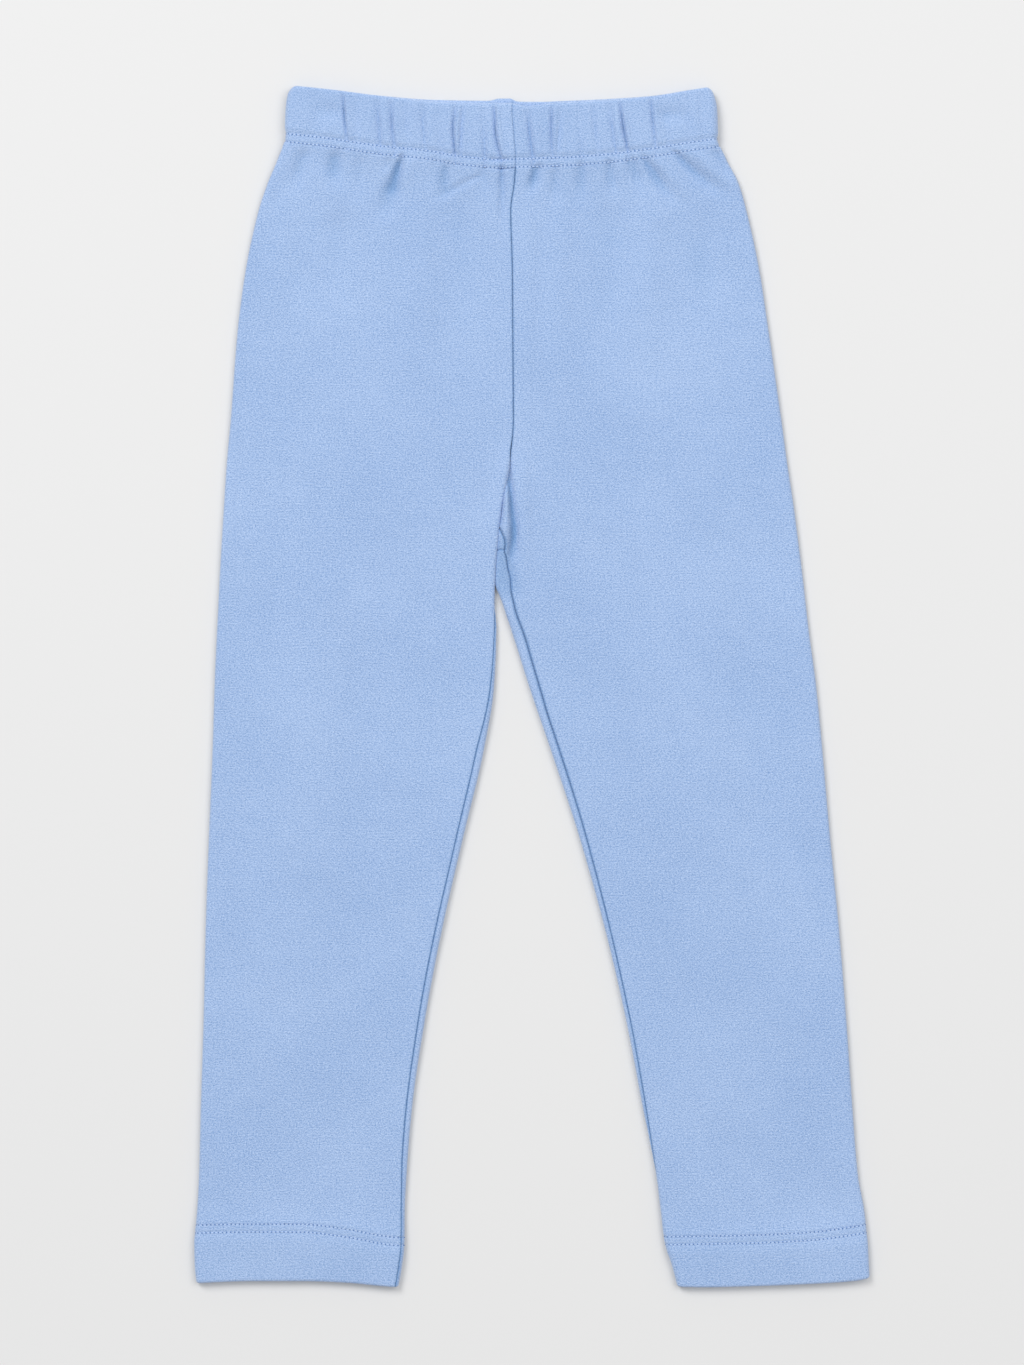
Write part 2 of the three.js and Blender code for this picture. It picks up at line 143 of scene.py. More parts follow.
class Table:
    """Rows of numbers under named columns."""

    def __init__(self, columns: str, *rows: Sequence[float]) -> None:
        """Names the columns.

        Args:
            columns: The names, parted by spaces.
            *rows: One number for each column.
        """
        self.columns = dict(zip(columns.split(), np.array(rows, float).T))

    def __getitem__(self, name: str) -> np.ndarray:
        """One column."""
        return self.columns[name]

    def rows(self) -> Iterable[dict[str, float]]:
        """The rows as dictionaries by column name."""
        for numbers in zip(*self.columns.values()):
            yield dict(zip(self.columns, numbers))

    def curve(self, along: str, of: str) -> "Curve":
        """The smooth curve of one column along another."""
        return Curve(self[along], self[of])


class Curve:
    """A smooth curve through given points, which never overshoots a point."""

    def __init__(self, at: Sequence[float], value: Sequence[float]) -> None:
        """Works out the tangents.

        Args:
            at: The places of the points.
            value: The value at each of them.
        """
        order = np.argsort(at)
        self.at = np.asarray(at, float)[order]
        self.value = np.asarray(value, float)[order]
        slope = np.diff(self.value) / np.diff(self.at)
        before = np.concatenate([slope[:1], slope])
        after = np.concatenate([slope, slope[-1:]])
        same = before * after > 0
        self.tangent = np.where(same, 2 * before * after / np.where(same, before + after, 1), 0)

    def __call__(self, place: np.ndarray | float) -> np.ndarray:
        """The curve's value at one or more places.

        Args:
            place: Where to read the curve. Past its ends it keeps the end's value.

        Returns:
            The values, in the same shape as the places.
        """
        place = np.clip(place, self.at[0], self.at[-1])
        i = np.clip(np.searchsorted(self.at, place) - 1, 0, len(self.at) - 2)
        span = self.at[i + 1] - self.at[i]
        t = (place - self.at[i]) / span
        rise = self.value[i + 1] - self.value[i]
        start = self.tangent[i] * span
        end = self.tangent[i + 1] * span
        return self.value[i] + t * (start + t * (3 * rise - 2 * start - end + t * (start + end - 2 * rise)))


# Outline of the garment, and the centre seam down to the notch, where the inner edges part
OUTLINE = Table(
    "y right_side right_inner left_inner left_side",
    (294.5, -116.5, -9.4, -9.4, 86),
    (290, -119.6, -9.6, -9.6, 89),
    (283, -120.7, -9.7, -9.7, 90.7),
    (268, -121.4, -8.6, -8.6, 91.4),
    (258, -124.7, -8, -8, 95.3),
    (247, -129.3, -8.6, -8.6, 101),
    (233, -134, -10.4, -10.4, 105.1),
    (204, -140.3, -9.6, -9.6, 111.4),
    (174, -144.3, -9.4, -9.4, 116),
    (130, -147.7, -9.1, -9.1, 122.3),
    (108, -149.7, -11.5, -11.5, 125.3),
    (88, -151, -15.6, -15.6, 128.3),
    (67, -152.3, -17.5, -17.5, 131),
    (51, -153.2, -18.2, -18.2, 133),
    (42, -153.6, -18.4, -15, 134),
    (27, -154.4, -17.5, -10, 135.7),
    (0, -155.6, -18.7, -1.4, 139.3),
    (-32, -156.6, -23.8, 9.5, 142.4),
    (-75, -158.4, -34, 23.6, 146.2),
    (-120, -160, -44.3, 36.1, 150.6),
    (-164, -161, -52.6, 46.3, 154.1),
    (-208, -162.4, -59, 54.7, 157.2),
    (-240, -163.2, -61.6, 61, 159.8),
    (-258, -164.2, -62.5, 63.3, 163),
    (-272, -165.4, -62.6, 65, 164.4),
    (-284, -165.1, -64, 69, 165),
    (-294.5, -164, -65.8, 71.8, 165.6),
)

# How far the inseam has rolled onto the front from each inner edge. Below nothing it lies under the edge.
INSEAMS = Table(
    "y right left",
    (100, 0, 0),
    (93, -0.8, 0),
    (79, -1.2, 0.1),
    (76.5, -1.2, 1.3),
    (74.5, -1.2, 2.4),
    (72.5, -1.2, 3.4),
    (70.5, -1.2, 4),
    (68.5, -1.2, 4.2),
    (66.5, -1.2, 4),
    (63, -1.2, 5.1),
    (58, -1.2, 6.1),
    (51, -1, 7.7),
    (43, -0.6, 5.9),
    (35, 0.2, 5.1),
    (24, 0.8, 5.5),
    (11, 1.2, 5.2),
    (-2, 1.7, 4.9),
    (-15, 2.4, 4.3),
    (-37, 3.6, 4.1),
    (-95, 3.1, 2.8),
    (-142, 3.2, 2.1),
    (-198, 2.8, 1.6),
    (-229, 2.6, 0.4),
    (-257, 1.5, -0.6),
    (-294, 1.3, -0.8),
)

# Along the waist: the back's top edge with the lump of its seam, how much lower the front's lies, and
# the upper stitch row
WAIST = Table(
    "x top dip stitch",
    (-121, 294.4, 0, 270.4),
    (-99, 292.2, 0.1, 267.9),
    (-74, 289.4, 0.5, 264.2),
    (-50, 287.4, 1.2, 261.8),
    (-37, 287.1, 1.6, 259.4),
    (-21, 286.9, 1.5, 257.8),
    (-16, 288, 2.5, 257.6),
    (-11, 288, 2.6, 257.7),
    (-7, 286.6, 1.8, 257.9),
    (-2, 286.4, 2.5, 258.1),
    (5, 286.4, 1.8, 258.3),
    (13, 286.7, 1.1, 258.5),
    (34, 287.6, 1, 259.9),
    (58, 289.2, 0.5, 262.9),
    (78, 292, 0.1, 266.1),
    (92, 294, 0, 268),
)

# Along the hems: the upper stitch row and the turned edge
HEMS = Table(
    "x stitch edge",
    (-165, -264, -292.6),
    (-138, -263.4, -291.6),
    (-112, -263.5, -291.6),
    (-92, -265.7, -292.3),
    (-64, -270, -294.5),
    (66, -269.6, -294.3),
    (84, -269.3, -294.6),
    (107, -268.9, -294.1),
    (138, -267.3, -292.9),
    (158, -264.7, -291.5),
    (166, -263.4, -290),
)

# Gathers of the casing: each valley's place near the top, halfway and at the stitching, its depth at
# the same three, and its half width
GATHERS = Table(
    "top middle foot top_depth middle_depth foot_depth half",
    (-104.6, -105.5, -107, 0.2, 0.5, 0.5, 3.4),
    (-92.6, -91.9, -90.4, 0.8, 2.1, 1.1, 1.1),
    (-86.5, -85.5, -84.6, 0.2, 0.7, 0.3, 1.8),
    (-76.2, -75.2, -74.2, 0.3, 1.5, 1.5, 1.7),
    (-68.8, -68.6, -67.2, 0.5, 1.8, 1.5, 1.3),
    (-62.5, -61.4, -60.5, 0.5, 0.8, 0.3, 1.7),
    (-53.7, -53.2, -52.2, 0.3, 1.4, 1, 2),
    (-46, -45, -44, 0, 0.5, 1, 1.8),
    (-37.2, -38.7, -37.6, 0.6, 2.1, 2, 1.1),
    (-33.6, -34.5, -35.3, 0.5, 1, 0.9, 1),
    (-24.2, -23.6, -23, 0.2, 1, 1.7, 1.6),
    (-18.4, -17.9, -15.1, 1.4, 2, 2.2, 1.1),
    (-1.9, -1.2, 0.5, 0.5, 1.9, 1.9, 2.1),
    (9.8, 9.4, 9.9, 1.1, 1.7, 0.9, 1.1),
    (14.6, 13.4, 12, 0.1, 0.6, 0.7, 1.3),
    (22.5, 23.8, 25, 0.2, 0.7, 1.2, 2.1),
    (29.5, 31, 33, 0.5, 1, 0.5, 1.7),
    (37.5, 39.2, 41.4, 0.5, 1.4, 1.2, 1.6),
    (42.9, 44.6, 47, 0.9, 2.4, 1.6, 1.1),
    (58, 59.2, 60.6, 0.9, 1.7, 1, 1.2),
    (64, 65.5, 67, 0.2, 0.5, 1, 1.8),
    (75.2, 76.6, 78.2, 0.2, 0.8, 0.5, 2.1),
    (82.5, 83.4, 84.5, 0.2, 0.5, 0.3, 2.1),
)
RIDGE = 0.34  # height of the fuller ridge at the right of each valley, against its depth
RIDGE_OFF = 1.6  # and how far off it lies, against the valley's half width
CRISP = 0.38  # half width of a gather's sharp bottom, against its whole
CRISP_GROWS = 0.3  # how much of a gather is sharp for each millimetre of its depth
CRISP_SHARE = (0.1, 0.55)  # the least and the most of it
GATHER_FOOT = 0.5  # share of the gathers' depth that is left below the stitching
GATHER_EASE = (-2.5, 0.5)  # the rest is lost between these distances below the upper row
GATHER_TOP = 0.25  # share that is left on the turn of the casing's top
GATHER_TURN = (-0.02, 0.14)  # shares of the way down over which it comes up to the whole
BACK_GATHERS = 0.7  # the back's gathers, against those of the front

# Dents where the casing is pressed in across the gathers, and where it puckers along its stitching
DENTS = Table(
    "x y half_x half_y depth",
    (-99, 281, 6.5, 4, 1.2),
    (68, 279.5, 7.5, 3.6, 1.2),
    (-15.8, 257.6, 4, 0.7, 0.9),
    (-15.8, 253.4, 4, 0.7, 0.7),
)

# Creases of the front, each from a head to a foot, with its half widths there and its depth. A crease
# is a trough unless its depth is negative. It lies on one half, or on both where its side is 0.
CREASES = Table(
    "side head_x head_y foot_x foot_y head_half foot_half depth",
    (0, -111, 262.5, -119, 236, 3.5, 6, 1.4),
    (0, -96, 261.5, -98, 240, 2.6, 6, 1.7),
    (0, -101, 252, -88, 226, 5, 8, -1),
    (0, -96, 228, -94, 180, 8, 10, 1),
    (0, -84, 259, -84, 236, 3, 5, 0.8),
    (0, -70.5, 258, -72, 250, 2.4, 4, 0.7),
    (0, -63.8, 259, -70, 237, 1, 4.5, 2.9),
    (0, -68, 246, -74, 224, 4, 7, 1.4),
    (0, -58.5, 258, -64, 240, 2.5, 4, -0.7),
    (0, -48, 258, -50, 238, 2.5, 4.5, 0.7),
    (0, -41.5, 256, -43, 236, 2.2, 4.5, 1.7),
    (0, -26, 250, -52, 236, 3, 5, 0.8),
    (0, -24, 254, -23, 236, 2.5, 4, 0.8),
    (-1, -14.5, 254, -14, 214, 1.7, 2.8, 1.5),
    (1, 3.5, 255, -2, 238, 2.2, 4, 1.8),
    (1, 12, 254, 11, 232, 2, 3.5, 1.1),
    (1, 24, 256, 25, 232, 2.6, 5, 1.4),
    (1, 37.5, 257, 41, 236, 2, 4.5, 1.7),
    (1, 49, 258.5, 54, 238, 2, 4.5, 1.7),
    (1, 54.5, 259.5, 72, 232, 1.8, 5, 2),
    (1, 69, 262, 97, 236, 2.2, 6, 2),
    (1, 89, 263, 100, 246, 2, 4, 1.4),
    (1, 62.5, 257, 78, 236, 2.5, 5, -1),
    (1, 80, 261, 101, 240, 3, 5, -1),
    (0, -55, 245, -53, 120, 7, 9, -1.3),
    (0, -36, 238, -34, 150, 8, 9, 0.8),
    (0, -120, 238, -128, 170, 7, 9, -0.8),
    (1, 60, 240, 56, 150, 8, 9, -1.4),
    (1, 38, 232, 37, 150, 8, 9, 1),
    (1, 84, 228, 82, 160, 9, 10, 1),
    (1, 14, 232, 14, 130, 6, 8, -1),
    (1, -1.5, 240, -2.5, 100, 4, 5, -1),
    (-1, -13, 112, -20, 45, 3, 4, -1.4),
    (1, -11.2, 105, -6.4, 56, 1, 1.7, 3.4),
    (1, -8.2, 80, -11, 58, 1.3, 1.7, 2),
    (1, -12.5, 98, -13.2, 56, 1.8, 2.2, -2.6),
    (1, -10, 68, -8, 38, 2, 2.6, 1.4),
    (1, -4.4, 112, -1.6, 48, 2.6, 3, -0.8),
    (1, -9, 62, 3, 10, 2.4, 2.4, -0.4),
    (0, -110, 60, -120, -180, 13, 15, -1),
    (0, -84, 20, -92, -230, 10, 12, 0.7),
    (0, 70, 40, 108, -190, 14, 15, -1),
    (0, 96, 60, 128, -180, 10, 12, 0.7),
)
CREASE_GROWS = 0.15  # shares of a crease's length
CREASE_FADES = 0.35

# Broad undulations of cloth that nobody has pressed: their lengths along X and Y, and their height
WAVES = Table(
    "length_x length_y phase height",
    (97, 61, 0.4, 0.1),
    (53, 139, 1.9, 0.09),
    (39, 83, 3.1, 0.06),
    (71, 33, 5.2, 0.05),
)


def smooth(value: np.ndarray | float, low: float, high: float) -> np.ndarray:
    """A soft step from 0 at low to 1 at high."""
    t = np.clip((value - low) / (high - low), 0, 1)
    return t * t * (3 - 2 * t)


def lerp(start: Any, end: Any, share: Any) -> Any:
    """The value at a share of the way from start to end."""
    return start + (end - start) * share


def bell(off: np.ndarray, half: np.ndarray | float) -> np.ndarray:
    """A soft bump of height 1 that falls away over a half width."""
    return np.exp(-((off / half) ** 2))


def graded(places: Sequence[float], spacings: Sequence[float]) -> np.ndarray:
    """Places whose spacing changes evenly from one given spacing to the next.

    Args:
        places: Where each spacing holds, in rising order. The first and the last are kept.
        spacings: The distance between two neighbours at each of those places.

    Returns:
        The places, in rising order.
    """
    fine = np.linspace(places[0], places[-1], 4001)
    density = 1 / np.interp(fine, places, spacings)
    count = np.concatenate([[0], np.cumsum((density[1:] + density[:-1]) / 2 * np.diff(fine))])
    steps = max(round(count[-1]), 2)
    return np.interp(np.linspace(0, count[-1], steps + 1), count, fine)


waist_top = WAIST.curve("x", "top")
waist_dip = WAIST.curve("x", "dip")
waist_stitch = WAIST.curve("x", "stitch")
hem_stitch = HEMS.curve("x", "stitch")
hem_edge = HEMS.curve("x", "edge")


def casing_top(x: np.ndarray, front: np.ndarray) -> np.ndarray:
    """The casing's top edge. Front is 1 on the front and 0 on the back."""
    return waist_top(x) - front * waist_dip(x)


def waist_row(x: np.ndarray, front: np.ndarray) -> np.ndarray:
    """The casing's upper stitch row."""
    return waist_stitch(x) + (1 - front) * waist_dip(x)


def casing_foot(x: np.ndarray, front: np.ndarray) -> np.ndarray:
    """The casing's lower stitch row, where it ends and the leg begins."""
    return waist_row(x, front) - NEEDLE_GAUGE


def crotch_line(x: np.ndarray, front: np.ndarray) -> np.ndarray:
    """The level of the crotch."""
    return np.full_like(x, CROTCH)


def leg_foot(x: np.ndarray, front: np.ndarray) -> np.ndarray:
    """A hem's upper stitch row, where the leg ends."""
    return hem_stitch(x)


def crease_depth(
    x: np.ndarray, y: np.ndarray, side: int, ridges: float = 1, spread: float = 1
) -> np.ndarray:
    """How far the creases and undulations press a half's front in at each point.

    Args:
        x: Places across the garment.
        y: Heights along it.
        side: The half's own side.
        ridges: How much of the ridges counts.
        spread: How wide each crease is against its own width.

    Returns:
        The depths.
    """
    depth = np.zeros_like(x)
    for crease in CREASES.rows():
        if crease["side"] * side < 0:
            continue
        along = (crease["head_y"] - y) / (crease["head_y"] - crease["foot_y"])
        off = x - lerp(crease["head_x"], crease["foot_x"], along)
        half = spread * lerp(crease["head_half"], crease["foot_half"], np.clip(along, 0, 1))
        grown = smooth(along, -CREASE_GROWS, CREASE_GROWS)
        share = 1 if crease["depth"] > 0 else ridges
        depth += share * crease["depth"] * grown * (1 - smooth(along, CREASE_FADES, 1)) * bell(off, half)
    for wave in WAVES.rows():
        turns = x / wave["length_x"] + y / wave["length_y"]
        depth += wave["height"] * np.sin(2 * np.pi * turns + wave["phase"])
    return depth


def dent_depth(x: np.ndarray, y: np.ndarray) -> np.ndarray:
    """How far the dents press the front in at each point."""
    depth = np.zeros_like(x)
    for dent in DENTS.rows():
        depth += dent["depth"] * bell(x - dent["x"], dent["half_x"]) * bell(y - dent["y"], dent["half_y"])
    return depth


def gather_depth(x: np.ndarray, share: np.ndarray) -> np.ndarray:
    """How far the gathers press the casing in at each point.

    Args:
        x: Places across the casing.
        share: How far down the casing each lies, 0 at the top and 1 at the upper stitch row.

    Returns:
        The depths.
    """
    depth = np.zeros_like(x)
    for gather in GATHERS.rows():
        place = Curve((0, 0.5, 1), (gather["top"], gather["middle"], gather["foot"]))
        deep = Curve((0, 0.5, 1), (gather["top_depth"], gather["middle_depth"], gather["foot_depth"]))
        off = x - place(share)
        crisp = np.clip(CRISP_GROWS * deep(share), *CRISP_SHARE)
        valley = lerp(bell(off, gather["half"]), bell(off, CRISP * gather["half"]), crisp)
        ridge = RIDGE * bell(off - RIDGE_OFF * gather["half"], gather["half"])
        depth += deep(share) * (valley - ridge)
    return depth


@dataclass(frozen=True)
class Columns:
    """How a ring's points are spread, region by region.

    Attributes:
        front: Shares of the front from the last point near the seam to the side fold.
        back: Shares of the back from the side fold to the inner one.
        inner: Steps round the inner fold, before the points near the seam.
        grading: The power by which the front's points stand closer near the seam, or 1 for evenly.
    """

    front: int
    back: int
    inner: int
    grading: float = 1


@dataclass(frozen=True)
class Ring:
    """Points of an outer face, as arrays of one shape.

    Attributes:
        x: Places across the garment.
        z: Heights over the surface.
        nx: The outward normal's part along X.
        nz: The outward normal's part along Z.
        front: 1 on the front, 0 on the back and between them on a fold.
        off: Distance along the cloth from the nearer seam edge.
        around: Distance along the cloth from the front's seam edge.
        strip: Distance along the cloth past the inner fold's lowest point, or 0 before it.
    """

    x: np.ndarray
    z: np.ndarray
    nx: np.ndarray
    nz: np.ndarray
    front: np.ndarray
    off: np.ndarray
    around: np.ndarray
    strip: np.ndarray


Height = Callable[[np.ndarray, np.ndarray], np.ndarray]  # the front's height over the surface at x and y
Line = Callable[[np.ndarray, np.ndarray], np.ndarray]  # a height along the garment at x, on front or back
Rows = tuple[tuple[float, ...], tuple[float, ...]]  # places, and how far apart rows are at each


class Side(Enum):
    """The wearer's own sides, by the sign of X."""

    RIGHT = -1
    LEFT = 1


@dataclass(frozen=True)
class Half:
    """One half of the garment: a panel that runs from its front seam edge round to its back one.

    Attributes:
        side: Which half it is.
        turn: Heights below which the back's inner edge is folded up to the front, and above which it isn't.
        lap: The same for the front's inner edge, folded down.
        laps: How far that fold lies over the other half.
    """

    side: Side
    turn: tuple[float, float]
    lap: tuple[float, float]
    laps: float
    name: str = field(init=False)
    out: int = field(init=False)
    edge: Curve = field(init=False)
    inner: Curve = field(init=False)
    inseam: Curve = field(init=False)

    def __post_init__(self) -> None:
        """Reads this half's own columns of the tables."""
        name = self.side.name.lower()
        object.__setattr__(self, "name", name)
        object.__setattr__(self, "out", self.side.value)
        object.__setattr__(self, "edge", OUTLINE.curve("y", f"{name}_side"))
        object.__setattr__(self, "inner", OUTLINE.curve("y", f"{name}_inner"))
        object.__setattr__(self, "inseam", INSEAMS.curve("y", name))

    def turned(self, y: np.ndarray) -> np.ndarray:
        """How much of the back's inner edge is folded up at a height."""
        return 1 - smooth(y, *self.turn)

    def middle(self, y: np.ndarray) -> np.ndarray:
        """Halfway between the side fold and the inner edge."""
        return (self.edge(y) + self.inner(y)) / 2

    def ring(self, y: np.ndarray, height: Height, columns: Columns) -> Ring:
        """The outer face round the flattened panel at each height.

        It runs over the front from the seam edge, round the side fold, back under, and, as far as
        the inner edge is turned, up round the inner fold to where it began.

        Args:
            y: Heights along the garment, with a column for each point of the ring.
            height: The front's height over the surface at x and y.
            columns: How the points are spread.

        Returns:
            The ring's points.
        """
        out = self.out
        turn = self.turned(y)
        full = 1 - smooth(y, *self.lap)
        side_edge = self.edge(y)
        gap = SEAM_GAP / 2 * smooth(y, NOTCH - NOTCH_OPENS, NOTCH)
        lapped = self.laps * full * smooth(y, NOTCH, LAP_FOOT)
        seam_edge = self.inner(y) + out * (gap - lapped)
        side_radius = height(side_edge, y) / 2
        fold_radius = height(seam_edge, y) / 2
        for _ in range(PASSES):
            side_radius = height(side_edge - out * side_radius, y) / 2
            fold_radius = height(seam_edge + out * fold_radius, y) / 2
        side_centre = side_edge - out * side_radius
        start_radius = np.maximum(fold_radius * full, TINY)
        quarter = np.pi / 2

        near = np.array(NEAR_SEAM)
        shares = np.linspace(0, 1, columns.front + 1)[1:] ** columns.grading
        start = lerp(start_radius * quarter, self.seam_place(y, start_radius), full)
        length = start_radius * quarter + np.abs(side_centre - seam_edge) - start_radius - start
        count = len(near) + columns.front
        beside = np.broadcast_to(near, (*y.shape[:-1], len(near)))
        further = lerp(near[-1], length[..., len(near) : count], shares)
        front_off = np.concatenate([beside, further], axis=-1)
        edge = seam_edge[..., :count]
        radius = start_radius[..., :count]
        front = self.rolled(edge, radius, start[..., :count] + front_off)
        top = height(np.where(front["flat"] > 0, front["x"], edge + out * radius), y[..., :count])
        front_z = top - radius * (1 - front["nz"])

        at = slice(count, count + FOLD_STEPS - 1)
        angle = quarter - np.pi * np.arange(1, FOLD_STEPS) / FOLD_STEPS
        side_x = side_centre[..., at] + out * side_radius[..., at] * np.cos(angle)
        side_z = side_radius[..., at] * (1 + np.sin(angle))
        side_around = length[..., at] + side_radius[..., at] * (quarter - angle)

        at = slice(at.stop, at.stop + columns.back)
        share = np.linspace(0, 1, columns.back)
        flat_end = seam_edge + out * fold_radius
        back_x = lerp(side_centre[..., at], flat_end[..., at], share)
        back_length = np.abs(side_centre - flat_end)
        back_around = (length + np.pi * side_radius)[..., at] + back_length[..., at] * share

        at = slice(at.stop, at.stop + columns.inner + len(near))
        radius = fold_radius[..., at]
        end = self.seam_place(y, fold_radius)[..., at]
        inner_length = end + radius * quarter
        packed = np.minimum(1, inner_length / (2 * near[-1]))
        steps = np.linspace(1, 0, columns.inner + 1)[:-1]
        sized = np.zeros_like(inner_length)
        inner = columns.inner
        nearest = near[-1] * packed[..., :inner]
        furthest = inner_length[..., :inner] * (1 - 0.5 / inner)
        sized[..., :inner] = lerp(nearest, furthest, steps)
        sized[..., inner:] = near[::-1] * packed[..., inner:]
        fold = self.rolled(seam_edge[..., at], radius, end - sized)
        fold_top = height(np.where(fold["flat"] > 0, fold["x"], flat_end[..., at]), y[..., at])
        fold_z = np.where(fold["nz"] > 0, fold_top, 2 * radius) - radius * (1 - fold["nz"])
        bent = turn[..., at]
        inner_x = lerp(lerp(seam_edge[..., at], flat_end[..., at], sized / inner_length), fold["x"], bent)
        inner_nx = fold["nx"] * bent
        inner_nz = lerp(-1, fold["nz"], bent)
        norm = np.hypot(inner_nx, inner_nz)
        inner_around = (length + np.pi * side_radius + back_length)[..., at] + inner_length - sized

        def joined(*parts: np.ndarray) -> np.ndarray:
            """The regions' arrays side by side."""
            return np.concatenate([np.broadcast_to(p, (*y.shape[:-1], p.shape[-1])) for p in parts], axis=-1)

        ones = np.ones_like(back_x)
        side_nx = out * np.cos(angle) * np.ones_like(side_x)
        side_nz = np.sin(angle) * np.ones_like(side_x)
        return Ring(
            x=joined(front["x"], side_x, back_x, inner_x),
            z=joined(front_z, side_z, 0 * ones, fold_z * bent),
            nx=joined(front["nx"], side_nx, 0 * ones, inner_nx / norm),
            nz=joined(front["nz"], side_nz, -ones, inner_nz / norm),
            front=joined(1 + 0 * front["x"], (1 + side_nz) / 2, 0 * ones, (1 + fold["nz"]) / 2 * bent),
            off=joined(front_off, FAR + 0 * side_x, FAR * ones, sized),
            around=joined(front_off, side_around, back_around, inner_around),
            strip=joined(0 * front_off, 0 * side_x, 0 * ones, (inner_length - sized) * bent),
        )

    def seam_place(self, y: np.ndarray, radius: np.ndarray) -> np.ndarray:
        """Where the front seam lies, as a distance along the cloth up from the inner edge's outermost line.

        Args:
            y: Heights along the garment.
            radius: The inner fold's radius at each.

        Returns:
            The distances, below nothing where the seam lies under the edge.
        """
        strip = self.inseam(y)
        on_fold = radius * np.arccos(np.clip(1 - strip / radius, -1, 1))
        on_flat = radius * np.pi / 2 + strip - radius
        return np.where(strip < 0, strip, np.where(strip < radius, on_fold, on_flat))

    def rolled(self, edge: np.ndarray, radius: np.ndarray, along: np.ndarray) -> dict[str, np.ndarray]:
        """Points of a face that lies flat, rolls round a fold and lies flat again beneath.

        Args:
            edge: The fold's outermost place along X.
            radius: The fold's radius.
            along: Distances along the cloth, up from the outermost line.

        Returns:
            Each point's x, its normal as nx and nz, and flat, its distance past the fold.
        """
        angle = np.clip(along / radius, -np.pi / 2, np.pi / 2)
        flat = np.maximum(np.abs(along) - radius * np.pi / 2, 0)
        return {
            "x": edge + self.out * (radius * (1 - np.cos(angle)) + flat),
            "nx": -self.out * np.cos(angle),
            "nz": np.sin(angle),
            "flat": np.where(along > 0, flat, 0),
        }


RIGHT = Half(Side.RIGHT, turn=(79.0, 93.0), lap=(104.0, 124.0), laps=0.4)
LEFT = Half(Side.LEFT, turn=(76.5, 83.0), lap=(76.5, 83.0), laps=0.0)


def strip_low(y: np.ndarray) -> np.ndarray:
    """How much the left leg's inner fold is held low at a height, under the right half's edge."""
    return smooth(y, *STRIP_FOOT) * (1 - smooth(y, *STRIP_HEAD))


def leg_height(half: Half, x: np.ndarray, y: np.ndarray) -> np.ndarray:
    """Height of a leg's outer front face over the surface, without its creases.

    Args:
        half: The half that the leg is on.
        x: Places across the garment.
        y: Heights along it.

    Returns:
        The heights.
    """
    to_side = np.abs(half.edge(y) - x)
    to_inner = np.abs(half.inner(y) - x)
    waist = np.exp(-np.maximum(casing_foot(x, 1) - y, 0) / WAIST_REACH)
    hem = np.exp(-np.maximum(y - leg_foot(x, 1), 0) / HEM_REACH)
    turn = half.turned(y)
    free = (1 - waist) * (1 - hem)
    held = 1 - STRIP_LOW * strip_low(y) * (half.side is Side.LEFT)
    roll = EDGE_ROLL * (np.exp(-to_side / ROLL_REACH) + turn * held * np.exp(-to_inner / ROLL_REACH))
    lift = waist * (CASING_HEIGHT - STITCH_SINK - LEG_HEIGHT) + hem * (HEM_HEIGHT - HEM_SINK - LEG_HEIGHT)
    return LEG_HEIGHT + lift + free * roll


def seam_dip(off: np.ndarray, size: np.ndarray | float = 1) -> np.ndarray:
    """How far a face sinks beside a seam, and swells a little past that.

    Args:
        off: Distances from the seam along the cloth.
        size: The groove's size against the usual one.

    Returns:
        The depths.
    """
    reach = GROOVE * size
    short = np.clip(reach - off, 0, reach)
    groove = reach - np.sqrt(np.maximum(reach**2 - short**2, 0))
    return groove - PILLOW * size * off / PILLOW_REACH * np.exp(1 - off / PILLOW_REACH)


def row_dip(off: np.ndarray) -> np.ndarray:
    """How far a face sinks under a row of stitches."""
    return ROW_SINK * bell(off, ROW_HALF)


@dataclass(frozen=True)
class Face:
    """A sheet's outer face, as rows of points from the foot up.

    Attributes:
        points: The places, rows by columns by three.
        inside: The places of the inner face's points, in the same shape.
        normals: The outward normals, in the same shape.
        knit: Where each point lies on the flat cloth, rows by columns by two.
        deep: How deep each point lies in a fold or a seam, from 0 to 1, rows by columns, which sets its
            painted shade.
    """

    points: np.ndarray
    inside: np.ndarray
    normals: np.ndarray
    knit: np.ndarray
    deep: np.ndarray

    def close_inseam(self) -> None:
        """Draws the inseam's two edges together up to the crotch, and the cloth beside them with them."""
        sewn = (self.points[:, 0, 1] < INSEAM_HEAD)[:, None, None]
        pull = 1 - np.array(NEAR_SEAM)[:, None] / NEAR_SEAM[-1]
        for spots in (self.points, self.inside):
            half_gap = sewn * (spots[:, -1:] - spots[:, :1]) / 2
            spots[:, : len(pull)] += half_gap * pull
            spots[:, -len(pull) :] -= half_gap * pull[::-1]


def settle(
    half: Half, height: Height, columns: Columns, line: Line, rows: int, start: float
) -> tuple[Ring, np.ndarray]:
    """Rings whose points lie on lines across the garment, such as stitch rows, and not at one height.

    Args:
        half: The half that they lie on.
        height: The front's height over the surface at x and y.
        columns: How the points are spread.
        line: The height along the garment at x, by how much of a point is on the front.
        rows: How many rings there are.
        start: A height near the lines.

    Returns:
        The rings, and the points' heights along the garment.
    """
    count = 2 * len(NEAR_SEAM) + columns.front + FOLD_STEPS - 1 + columns.back + columns.inner
    y = np.full((rows, count), start)
    y = line(half.middle(y), np.ones_like(y))
    for _ in range(PASSES):
        ring = half.ring(y, height, columns)
        y = line(ring.x, ring.front)
    return half.ring(y, height, columns), y


